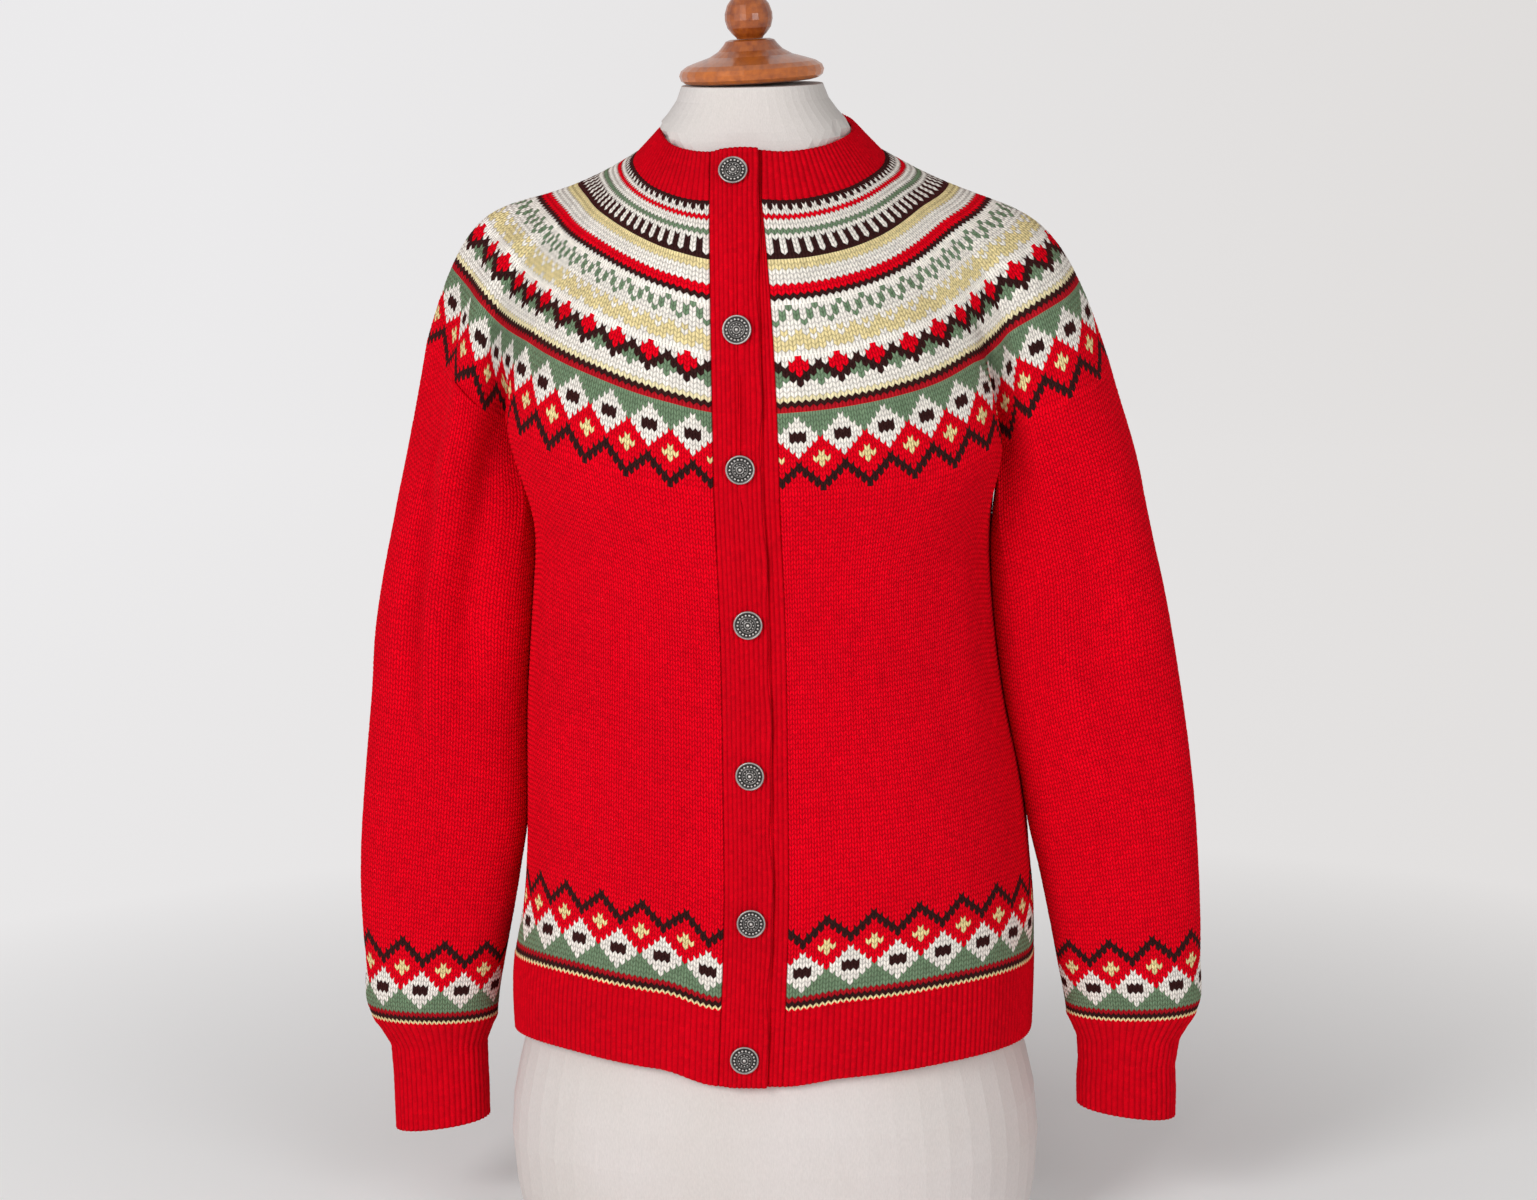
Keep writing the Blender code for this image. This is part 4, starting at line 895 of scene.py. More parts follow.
def sleeve_ring(side: int, shares: Points, rows: Points) -> Points:
    """Place points of a sleeve: row 0 at the yoke, 1 at the cuff's seam and 2 at its end.

    Args:
        side: +1 for the wearer's left, -1 for the right.
        shares: shares of the way round, from the front valley.
        rows: rows down the piece.

    Returns:
        A grid of points, rows by columns.
    """
    top_line = sleeve_top(side)
    top = read_line(top_line, shares * lengths_along(top_line)[-1])

    def section_point(height: float, share: float) -> Points:
        """Read the oval at a height, at a share of the way round from the front valley."""
        line = sleeve_section(side, height)
        return read_line(line, ((share + UNDERARM_SHARE / 2) % 1.0) * lengths_along(line)[-1])

    grid = np.empty((len(SLEEVE_STATIONS), len(shares), 3))
    base = [section_point(start[2], share) for start, share in zip(top, shares)]
    for index, row in enumerate(SLEEVE_STATIONS):
        fade = 1 - float(soft_step(row / SHOULDER_FADE))
        for column, share in enumerate(shares):
            height = height_at(row, top[column, 2], CUFF_SEAM[side], CUFF_END[side])
            point = section_point(height, share) + fade * (top[column] - base[column])
            out = point[0] - float(read_table(SLEEVE[side], height)[0])
            point[2] = height - max(row - 1.0, 0.0) * CUFF_SLANT * out / CUFF_HALF
            grid[index, column] = point
    lift = fold_lift(Part.SLEEVE, side, shares[None, :], grid[..., 2])
    middle = grid.mean(axis=1, keepdims=True)
    grid = grid + lift[..., None] * unit((grid - middle) * (1, 1, 0))
    grid = mirrored(rest_on_body(side, grid), side)
    return read_rows(SLEEVE_STATIONS, grid, rows)


def joined(half: Callable[[int, Points, Points], Points], start: float, turn_at: float,
           columns: Points, rows: Points) -> Points:
    """Place points of a piece that runs from one half round the centre back to the other.

    Args:
        half: the surface of one half, which takes a side, shares and rows.
        start: the share of each half at which the piece starts.
        turn_at: the position at which the centre back lies.
        columns: positions from 0, at the left half's start, to 1, at the right half's.
        rows: positions down the piece.

    Returns:
        A grid of points, rows by columns.
    """
    left = start + (1 - start) * columns[columns <= turn_at] / turn_at
    right = 1 - (1 - start) * (columns[columns > turn_at] - turn_at) / (1 - turn_at)
    return np.concatenate([half(+1, left, rows), half(-1, right, rows)], axis=1)


def front_half(side: int, share: float, columns: Points, rows: Points) -> Points:
    """Place points of a front, which ends at a share of half the body."""
    return body_half(side, columns * share, rows)


def body_line(offset: float, rows: Points) -> Points:
    """Read the body's line at a steady offset from the buttons' line.

    Args:
        offset: how far the line lies from the buttons' line.
        rows: rows from the yoke, 0, to the hem, 2.

    Returns:
        The points.
    """
    points = []
    for row in rows:
        height = height_at(row, BASE_FRONT, RIB_TOP, HEM_HEIGHT) + hem_drop(+1, 0.0, row)
        at = placed(offset, height)
        side = 1 if at >= 0 else -1
        points.append(mirrored(read_line(body_section(side, height), abs(at)), side))
    return np.array(points)


def yoke_line(offset: float, rows: Points) -> Points:
    """Read the yoke's line at a steady offset from the buttons' line.

    Args:
        offset: how far the line lies from the buttons' line.
        rows: rows down the piece.

    Returns:
        The points.
    """
    neck_at = placed(offset, NECK[0].low[2])
    side = 1 if neck_at >= 0 else -1
    base = np.array([max(side * placed(offset, BASE_FRONT), 0.0)])
    return meridians(side, np.array([abs(neck_at)]), base, base, np.zeros(1), rows,
                     np.zeros(1))[:, 0]


def neck_line(offset: float, rows: Points) -> Points:
    """Read the neckband's line at a steady offset from the buttons' line.

    Args:
        offset: how far the line lies from the buttons' line.
        rows: rows down the piece.

    Returns:
        The points.
    """
    ends = []
    for rings, height in ((NECK_LOW, NECK[0].low[2]), (NECK_HIGH, NECK[0].top[2])):
        at = placed(offset, height)
        side = 1 if at >= 0 else -1
        ends.append(mirrored(rings[side].at(abs(at)), side))
    return ends[1] + rows[:, None] * (ends[0] - ends[1])


def band_ground(offsets: Points) -> Points:
    """Place the front bands' ground at offsets from the buttons' line, neck to hem.

    Args:
        offsets: how far each line lies from the buttons' line.

    Returns:
        A grid of points, neck to hem by lines.
    """
    strips = []
    for offset in offsets:
        neck = neck_line(offset, np.linspace(0, 1, NECK_STEPS))
        yoke = yoke_line(offset, np.linspace(0, 1, YOKE_STEPS))
        body = body_line(offset, np.linspace(0, 2, BODY_STEPS))
        strips.append(np.vstack([neck, yoke[1:], body[1:]]))
    return np.stack(strips, axis=1)


def inward_of(grid: Points, sense: int = 1, closed: bool = False) -> Points:
    """Give the direction into the cloth at each point of an outer grid.

    Args:
        grid: the grid.
        sense: +1 where its columns run towards the wearer's right at the front, else -1.
        closed: whether its columns close a tube.

    Returns:
        A direction at each point.
    """
    down = np.gradient(grid, axis=0)
    if closed:
        across = np.roll(grid, -1, axis=1) - np.roll(grid, 1, axis=1)
    else:
        across = np.gradient(grid, axis=1)
    return sense * unit(np.cross(across, down))


# ---------------------------------------------------------------- colours and materials

def linear(hex_colour: str) -> tuple[float, float, float, float]:
    """Turn a hex sRGB colour into a linear one with full alpha.

    Args:
        hex_colour: the colour as six hex digits.

    Returns:
        The colour in red, green, blue and alpha.
    """
    parts = [int(hex_colour[at:at + 2], 16) / 255 for at in (0, 2, 4)]
    mapped = [part / 12.92 if part <= 0.04045 else ((part + 0.055) / 1.055) ** 2.4
              for part in parts]
    return (mapped[0], mapped[1], mapped[2], 1.0)


YARN_COLOURS = {yarn.value[0]: np.array(linear(yarn.value[1])) for yarn in Yarn}


@dataclass(frozen=True)
class Finish:
    """A plain finish: its colours, roughness and other even numbers."""

    name: str
    colour: str
    roughness: float
    second: str = ""
    metallic: float = 0.0
    coat: float = 0.0
    coat_roughness: float = 0.12
    sheen: float = 0.0
    sheen_tint: str = "FFFFFF"
    specular: float = 0.5


# Spun wool scatters light evenly, so it shows no gloss, only a faint red glow where it turns away.
RED_WOOL = Finish("spun_red_wool_knit", "D8001A", 1.0, sheen=0.10, sheen_tint="E0202C",
                  specular=0.06)
# The same yarn in several colours, stranded: flat colour to a stitch, with painted shade in the
# gaps between.
PATTERN_WOOL = replace(RED_WOOL, name="stranded_wool_knit")
# Stretched off-white cotton jersey over a padded form: matt, with a fine upright grain.
JERSEY = Finish("stretched_cotton_jersey", "D3CDCC", 0.95, "C6C0BA", sheen=0.08, specular=0.15)
# Turned softwood under clear varnish: warm orange, darker in the grain, with a soft highlight.
VARNISH = Finish("varnished_turned_wood", "C0681E", 0.32, "74300F", coat=0.35)
# Cast pewter, blackened and rubbed back: dark hollows and bright worn beads and rim.
PEWTER = Finish("rubbed_cast_pewter", "C9C4C0", 0.42, "141313", metallic=0.8)
# Matt painted board: a plain pale ground with no gloss.
SWEEP = Finish("matt_painted_sweep", "F6F6F6", 1.0, specular=0.1)

# The sizes of what each noise stands for, in millimetres.
FIBRE, TUFT, FELTED = 0.33, 1.2, 45.0
JERSEY_STITCH, JERSEY_WEAR = 0.38, 55.0
WOOD_GRAIN, WOOD_FIGURE = 2.2, 21.0
CAST_GRIT = 0.55
# The span in which most of a noise lies, and the upper part of it that wood darkens in.
MOST, UPPER = (0.3, 0.7), (0.35, 0.7)
# Painted shade in the gaps between a stitch's legs and painted light on its legs: how dark the
# gaps are, how bright the legs, and how high they are whole.
GAP_PAINTED_SHADE, LEG_PAINTED_LIGHT, LEG_TOP = 0.45, 1.06, 0.75
# How far loose fibres stand out beside the legs.
FIBRE_RELIEF = 0.55
# How rounded a stitch's legs are across and along it, in their bump and in their painted light and
# shade.
LEG_POWERS = {"X": 0.6, "Y": 0.5}
# The heights, in metres, between which the varnish darkens from the cap up to the finial.
FINIAL_FROM, FINIAL_TO = 0.838, 0.850
# Where the sweep's shadows end and its glow, painted lighter to the left and darker to the right,
# is whole, in metres from the form.
SHADOWS_TO, EVEN_FROM = 0.35, 1.15
# Painted light falloff: the colours that the sweep glows in at its left, lighter, and at its
# right, darker, this far out in metres.
SWEEP_PAINTED_LIGHT_LEFT, SWEEP_PAINTED_SHADE_RIGHT, SWEEP_REACH = "EBEAEB", "DDDAD8", 1.6


class Nodes:
    """A node tree built by short calls, whose inputs are each a value or a socket."""

    def __init__(self, tree: bpy.types.NodeTree) -> None:
        """Take the tree."""
        self.tree = tree

    def fill(self, node: bpy.types.Node, inputs: dict[object, object]) -> None:
        """Set or link a node's inputs, by name or number.

        Args:
            node: the node.
            inputs: a value or a socket for each input.
        """
        for name, value in inputs.items():
            if isinstance(value, bpy.types.NodeSocket):
                self.tree.links.new(value, node.inputs[name])
            else:
                node.inputs[name].default_value = value

    def add(self, kind: str, inputs: dict[object, object] | None = None, out: object = 0,
            **settings: object) -> bpy.types.NodeSocket:
        """Add a node.

        Args:
            kind: the node's type, without its ShaderNode prefix.
            inputs: a value or a socket for each input, by name or number.
            out: the name or number of the output wanted.
            settings: the node's own settings.

        Returns:
            That output.
        """
        node = self.tree.nodes.new("ShaderNode" + kind)
        for name, value in settings.items():
            setattr(node, name, value)
        self.fill(node, inputs or {})
        return node.outputs[out]

    def math(self, operation: str, *values: object) -> bpy.types.NodeSocket:
        """Work out a number from one to three others."""
        return self.add("Math", dict(enumerate(values)), operation=operation)

    def span(self, value: object, low: float, high: float, to_low: float = 0.0,
             to_high: float = 1.0) -> bpy.types.NodeSocket:
        """Map a value from one span to another, held at both ends."""
        return self.add("MapRange", {"Value": value, "From Min": low, "From Max": high,
                                     "To Min": to_low, "To Max": to_high})

    def noise(self, place: object, size: float, detail: float = 2.0) -> bpy.types.NodeSocket:
        """Add a noise whose grains are a size across in millimetres."""
        return self.add("TexNoise", {"Vector": place, "Scale": 0.5 / (size * MM),
                                     "Detail": detail})

    def mix(self, amount: object, first: str, second: str) -> bpy.types.NodeSocket:
        """Go from one hex colour to another."""
        return self.add("Mix", {"Factor": amount, 6: linear(first), 7: linear(second)}, out=2,
                        data_type="RGBA")

    def seen(self) -> bpy.types.NodeSocket:
        """Give 1 where a camera, glossy or transmission ray looks, and 0 where light bounces.

        Returns:
            The number's socket.
        """
        found: object = 0.0
        for ray in ("Is Camera Ray", "Is Glossy Ray", "Is Transmission Ray"):
            found = self.math("MAXIMUM", self.add("LightPath", out=ray), found)
        return found


class Shader(Nodes):
    """A material's node tree."""

    def __init__(self, finish: Finish) -> None:
        """Start a material that has the finish's even numbers.

        Args:
            finish: the finish.
        """
        self.material = bpy.data.materials.new(finish.name)
        self.material.use_nodes = True
        super().__init__(self.material.node_tree)
        self.surface = self.tree.nodes["Principled BSDF"]
        self.spot = self.add("TexCoord", out="Object")
        self.fill(self.surface, {
            "Base Color": linear(finish.colour), "Roughness": finish.roughness,
            "Metallic": finish.metallic, "Coat Weight": finish.coat,
            "Coat Roughness": finish.coat_roughness, "Sheen Weight": finish.sheen,
            "Sheen Tint": linear(finish.sheen_tint), "Specular IOR Level": finish.specular})

    def finished(self, colour: object, relief: object, depth: float, strength: float
                 ) -> bpy.types.Material:
        """Give the surface its colour and a fine relief.

        Args:
            colour: the colour's socket.
            relief: the relief's socket.
            depth: the relief's depth in millimetres.
            strength: how strongly it shows.

        Returns:
            The material.
        """
        bump = self.add("Bump", {"Height": relief, "Distance": depth * MM, "Strength": strength})
        self.fill(self.surface, {"Base Color": colour, "Normal": bump})
        return self.material


def wool_material(finish: Finish) -> bpy.types.Material:
    """Make knitted wool: a yarn colour to a stitch, rounded legs with painted light on them and
    painted shade in the gaps between, loose fibres.

    Args:
        finish: the wool's finish.

    Returns:
        The material.
    """
    shader = Shader(finish)
    stitch = shader.add("UVMap", uv_map="stitch")
    height: object = 1.0
    for axis, power in LEG_POWERS.items():
        part = shader.math("FRACT", shader.add("SeparateXYZ", {0: stitch}, out=axis))
        part = shader.math("SINE", shader.math("MULTIPLY", part, math.pi))
        part = shader.math("POWER", shader.math("MAXIMUM", part, 0.001), power)
        height = shader.math("MULTIPLY", part, height)
    # Painted light on the legs' crests and painted shade in the gaps between them, times tone that
    # differs at random.
    light = shader.span(height, 0.0, LEG_TOP, GAP_PAINTED_SHADE, LEG_PAINTED_LIGHT)
    fibres, tufts, felted = (shader.noise(shader.spot, size) for size in (FIBRE, TUFT, FELTED))
    for noise, low, high in ((fibres, 0.90, 1.12), (tufts, 0.92, 1.08), (felted, 0.95, 1.05)):
        light = shader.math("MULTIPLY", light, shader.span(noise, *MOST, low, high))
    relief = shader.math("MULTIPLY_ADD", fibres, FIBRE_RELIEF, height)
    yarn = shader.add("Attribute", out="Color", attribute_name="yarn")
    colour = shader.add("VectorMath", {0: yarn, "Scale": light}, operation="SCALE")
    return shader.finished(colour, relief, 0.9, 0.9)


def jersey_material(finish: Finish) -> bpy.types.Material:
    """Make the form's smooth jersey: a faint upright knit and soft worn patches.

    Args:
        finish: the jersey's finish.

    Returns:
        The material.
    """
    shader = Shader(finish)
    upright = shader.add("VectorMath", {0: shader.spot, 1: (1.0, 1.0, 0.25)},
                         operation="MULTIPLY")
    weave = shader.noise(upright, JERSEY_STITCH)
    wear = shader.noise(shader.spot, JERSEY_WEAR)
    colour = shader.add("VectorMath", {0: shader.mix(wear, finish.second, finish.colour),
                                       "Scale": shader.span(weave, *MOST, 0.95, 1.04)},
                        operation="SCALE")
    return shader.finished(colour, weave, 0.3, 0.35)


def wood_material(finish: Finish) -> bpy.types.Material:
    """Make varnished wood: grain drawn out across it, a broad figure and a darker finial.

    Args:
        finish: the wood's finish.

    Returns:
        The material.
    """
    shader = Shader(finish)
    drawn = shader.add("VectorMath", {0: shader.spot, 1: (1.0, 0.12, 1.0)},
                       operation="MULTIPLY")
    height = shader.add("SeparateXYZ", {0: shader.spot}, out="Z")
    grain = shader.noise(drawn, WOOD_GRAIN, 6.0)
    figure = shader.noise(drawn, WOOD_FIGURE, 3.0)
    amount = shader.span(height, FINIAL_FROM, FINIAL_TO, to_high=0.35)
    for noise, high in ((grain, 0.45), (figure, 0.35)):
        amount = shader.math("ADD", amount, shader.span(noise, *UPPER, to_high=high))
    return shader.finished(shader.mix(amount, finish.colour, finish.second), grain, 0.2, 0.15)


def pewter_material(finish: Finish) -> bpy.types.Material:
    """Make old pewter: bright on its raised parts and dark in its hollows.

    Args:
        finish: the pewter's finish.

    Returns:
        The material.
    """
    shader = Shader(finish)
    raised = shader.add("Attribute", out="Fac", attribute_name="raised")
    grit = shader.noise(shader.spot, CAST_GRIT, 3.0)
    amount = shader.math("MULTIPLY", raised, shader.span(grit, *MOST, 0.75, 1.1))
    return shader.finished(shader.mix(amount, finish.second, finish.colour), grit, 0.2, 0.3)


def sweep_material(finish: Finish) -> bpy.types.Material:
    """Make the sweep: it keeps its shadows near the form, and far from it it glows, as seen, in a
    painted light falloff from a lighter left to a darker right.

    Args:
        finish: the board's finish.

    Returns:
        The material.
    """
    shader = Shader(finish)
    away = shader.add("VectorMath", {0: shader.spot}, out="Value", operation="LENGTH")
    even = shader.math("MULTIPLY", shader.span(away, SHADOWS_TO, EVEN_FROM), shader.seen())
    # Painted light falloff across the sweep's glow: lighter to the left, darker to the right.
    across = shader.span(shader.add("SeparateXYZ", {0: shader.spot}, out="X"), -SWEEP_REACH,
                         SWEEP_REACH)
    shader.fill(shader.surface, {"Base Color": shader.mix(even, finish.colour, "000000"),
                                 "Emission Color": shader.mix(across, SWEEP_PAINTED_LIGHT_LEFT, SWEEP_PAINTED_SHADE_RIGHT),
                                 "Emission Strength": even})
    return shader.material


# ---------------------------------------------------------------- knitting

class KnitBand(NamedTuple):
    """Rows of stitches that share one number of stitches, from a row of the piece to another."""

    stitches: int
    rows: int
    chart: Chart
    top: float = 0.0
    bottom: float = 1.0


class Cut(NamedTuple):
    """The flat size that a piece of cloth is cut or knitted to, in metres."""

    width: float
    length: float
    area: float


@dataclass
class Shell:
    """A wall of knitted cloth: a fine outer skin and a plain inner one."""

    name: str
    surface: Surface
    bands: Sequence[KnitBand]
    texture: Texture = Texture.STOCKINETTE
    wall: float = WALL
    sense: int = 1
    closed: bool = False
    points: list[Points] = field(default_factory=list)
    faces: list[tuple[int, ...]] = field(default_factory=list)
    colours: list[Points] = field(default_factory=list)
    places: list[tuple[float, float]] = field(default_factory=list)
    count: int = 0

    def add_grid(self, grid: Points) -> dict[str, list[int]]:
        """Add a grid of points and list the points of its four borders.

        Args:
            grid: the grid, lines by columns.

        Returns:
            The points of its top, bottom, first and last lines.
        """
        lines, columns = grid.shape[:2]
        start = self.count
        last = start + (lines - 1) * columns
        self.points.append(grid.reshape(-1, 3))
        self.count += lines * columns
        top, bottom = list(range(start, start + columns)), list(range(last, last + columns))
        if self.closed:
            top.append(start)
            bottom.append(last)
        return {"top": top, "bottom": bottom, "first": list(range(start, last + 1, columns)),
                "last": list(range(start + columns - 1, last + columns, columns))}

    def add_face(self, corners: tuple[int, ...], colour: Points,
                 places: Sequence[tuple[float, float]]) -> None:
        """Add a face with its yarn colour and the stitch place of each corner.

        Args:
            corners: the face's points.
            colour: its yarn's colour.
            places: the stitch place of each corner.
        """
        self.faces.append(corners)
        self.colours.extend([colour] * len(corners))
        self.places.extend(places)

    def knit_band(self, band: KnitBand, dice: np.random.Generator) -> dict[str, list[int]]:
        """Knit one band of rows and give its borders' points.

        Args:
            band: the rows to knit.
            dice: the source of the stitches' small differences.

        Returns:
            The points of its top, bottom, first and last lines.
        """
        look = LOOKS[self.texture]
        per = look.points_across
        columns = band.stitches * per + (0 if self.closed else 1)
        lines = band.rows * 2 + 1
        grid = self.surface(np.arange(columns) / (band.stitches * per),
                            np.linspace(band.top, band.bottom, lines))
        outward = -inward_of(grid, self.sense, self.closed)
        swing = np.cos(2 * math.pi * (np.arange(columns) % per) / per)[None, :]
        slant = -look.slant * 0.5 * swing * np.ones((lines, 1))
        crest = np.where(np.arange(lines) % 2 == 1, 0.5, -0.5)[:, None]
        slant[[0, -1]] = crest[[0, -1]] = 0.0
        lift = look.row_relief * crest - look.rib_relief * 0.5 * swing
        lift = lift + UNEVEN_LIFT * dice.standard_normal((lines, columns))
        points = (grid + slant[..., None] * np.gradient(grid, axis=0) * 2.0
                  + lift[..., None] * outward)
        borders = self.add_grid(points)
        wobble = 1 + UNEVEN_SHADE * dice.standard_normal((band.rows, band.stitches))
        wide = (look.legs - 2 * look.margin) / per
        for line in range(lines - 1):
            row, lower = divmod(line, 2)
            v, v_end = (0.5 + (line / 2 - 0.5 + step) * look.row_gap for step in
                        (SEAM_SOFT * (line == 0), 0.5 - SEAM_SOFT * (line == lines - 2)))
            for column in range(columns if self.closed else columns - 1):
                stitch, part = divmod(column, per)
                a = borders["top"][0] + line * columns + column
                b = a - column + (column + 1) % columns
                letter = band.chart(row, stitch)
                if letter.islower():
                    letter = "R" if lower else letter.upper()
                u = stitch * look.legs + look.margin + part * wide
                # A face's colour is its yarn's, lighter or darker at random, times the texture's
                # painted shade.
                self.add_face((a, a + columns, b + columns, b),
                              YARN_COLOURS[letter] * wobble[row, stitch] * look.painted_shade,
                              ((u, v), (u, v_end), (u + wide, v_end), (u + wide, v)))
        return borders

    def zip_lines(self, first: list[int], second: list[int], letter: str) -> None:
        """Fill the strip between two lines of points with triangles.

        Args:
            first: one line's points.
            second: the other line's points.
            letter: the yarn's letter.
        """
        places = np.vstack(self.points)
        runs = []
        for line in (first, second):
            run = lengths_along(places[line])
            runs.append(run / run[-1])
        colour = YARN_COLOURS[letter]
        i = j = 0
        while i < len(first) - 1 or j < len(second) - 1:
            forward = j == len(second) - 1 or (
                i < len(first) - 1 and runs[0][i + 1] <= runs[1][j + 1])
            if forward:
                corners = (first[i], second[j], first[i + 1])
                i += 1
            else:
                corners = (first[i], second[j], second[j + 1])
                j += 1
            if len(set(corners)) == 3:
                self.add_face(corners, colour, (PLAIN_PLACE,) * 3)

    def build(self, material: bpy.types.Material, dice: np.random.Generator
              ) -> tuple[bpy.types.Object, Cut]:
        """Knit the outer skin, line it with an inner one and close the edges.

        Args:
            material: the wool.
            dice: the source of the stitches' small differences.

        Returns:
            The piece and its flat cut.
        """
        borders = [self.knit_band(band, dice) for band in self.bands]
        for upper, lower, band in zip(borders, borders[1:], self.bands):
            self.zip_lines(upper["bottom"], lower["top"], band.chart(band.rows - 1, 1))
        skin = len(self.faces)
        columns = TUBE_COLUMNS if self.closed else LINING_COLUMNS
        grid = self.surface(np.linspace(0, 1, columns, endpoint=not self.closed),
                            np.linspace(self.bands[0].top, self.bands[-1].bottom, LINING_ROWS))
        lining = self.add_grid(grid + inward_of(grid, self.sense, self.closed) * self.wall)
        for start in lining["first"][:-1]:
            for column in range(columns if self.closed else columns - 1):
                a, b = start + column, start + (column + 1) % columns
                self.add_face((a, b, b + columns, a + columns), YARN_COLOURS["R"],
                              (PLAIN_PLACE,) * 4)
        self.zip_lines(borders[0]["top"], lining["top"], self.bands[0].chart(0, 1))
        self.zip_lines(borders[-1]["bottom"], lining["bottom"], "R")
        if not self.closed:
            for key in ("first", "last"):
                self.zip_lines([point for border in borders for point in border[key]],
                               lining[key], "R")
        return self.finished(material, skin), self.cut_of(grid)

    def cut_of(self, grid: Points) -> Cut:
        """Work out the flat cut from a plain grid of the piece.

        Args:
            grid: the plain grid.

        Returns:
            The flat cut.
        """
        wide = [lengths_along(line)[-1] for line in grid]
        length = max(lengths_along(line)[-1] for line in grid.transpose(1, 0, 2))
        cross = np.cross(np.diff(grid, axis=0)[:, :-1], np.diff(grid, axis=1)[:-1])
        area = float(np.linalg.norm(cross, axis=-1).sum())
        if self.closed:
            wide = [width + float(np.linalg.norm(line[0] - line[-1]))
                    for width, line in zip(wide, grid)]
            area *= len(grid[0]) / (len(grid[0]) - 1)
        width = max(wide)
        return Cut(width * MM, length * MM, min(area * MM * MM, width * length * MM * MM))

    def finished(self, material: bpy.types.Material, skin: int) -> bpy.types.Object:
        """Make the mesh object, soft on its skin and crisp at its edges and its lining.

        Args:
            material: the wool.
            skin: how many of the faces, from the first, are the knitted skin.

        Returns:
            The piece.
        """
        mesh = bpy.data.meshes.new(self.name + "_knit")
        mesh.from_pydata(np.vstack(self.points) * MM, [], self.faces)
        layer = mesh.color_attributes.new("yarn", "BYTE_COLOR", "CORNER")
        layer.data.foreach_set("color", np.clip(np.array(self.colours), 0, 1).ravel())
        uv = mesh.uv_layers.new(name="stitch")
        uv.data.foreach_set("uv", np.array(self.places, float).ravel())
        face_outwards(mesh)
        mesh.materials.append(material)
        mesh.polygons.foreach_set("use_smooth", np.arange(len(self.faces)) < skin)
        return link_object(self.name + "_knit", mesh)


def face_outwards(mesh: bpy.types.Mesh) -> None:
    """Close a mesh's seams and poles, and turn every face to point out of it.

    Args:
        mesh: the mesh, changed in place.
    """
    work = bmesh.new()
    work.from_mesh(mesh)
    bmesh.ops.remove_doubles(work, verts=work.verts, dist=MERGE)
    bmesh.ops.recalc_face_normals(work, faces=work.faces)
    if work.calc_volume(signed=True) < 0:
        bmesh.ops.reverse_faces(work, faces=work.faces)
    work.to_mesh(mesh)
    work.free()


def link_object(name: str, mesh: bpy.types.Mesh) -> bpy.types.Object:
    """Put a mesh in the scene at the origin.

    Args:
        name: the object's name.
        mesh: its mesh.

    Returns:
        The object.
    """
    thing = bpy.data.objects.new(name, mesh)
    bpy.context.scene.collection.objects.link(thing)
    return thing


def row_chart(rows: Sequence[str], first: int) -> Chart:
    """Chart rows that are each a short repeat, from the top down; the first starts at a stitch.

    Args:
        rows: each row's repeat.
        first: the stitch at which the first repeat starts.

    Returns:
        The chart, which takes a row from the top and a stitch.
    """
    def chart(row: int, stitch: int) -> str:
        """Give the yarn of a stitch."""
        return rows[row][(stitch - first) % len(rows[row])]
    return chart


def border_chart(rows: int, first: int) -> Chart:
    """Chart plain red with the border in its lowest rows."""
    return row_chart(("R",) * (rows - len(BORDER)) + BORDER[::-1], first)


def ribbed(counts: tuple[int, int], top: float = 0.0, bottom: float = 1.0) -> list[KnitBand]:
    """Give a rib of plain red with a number of stitches and of rows."""
    return [KnitBand(*counts, row_chart(("R",) * counts[1], 0), top, bottom)]


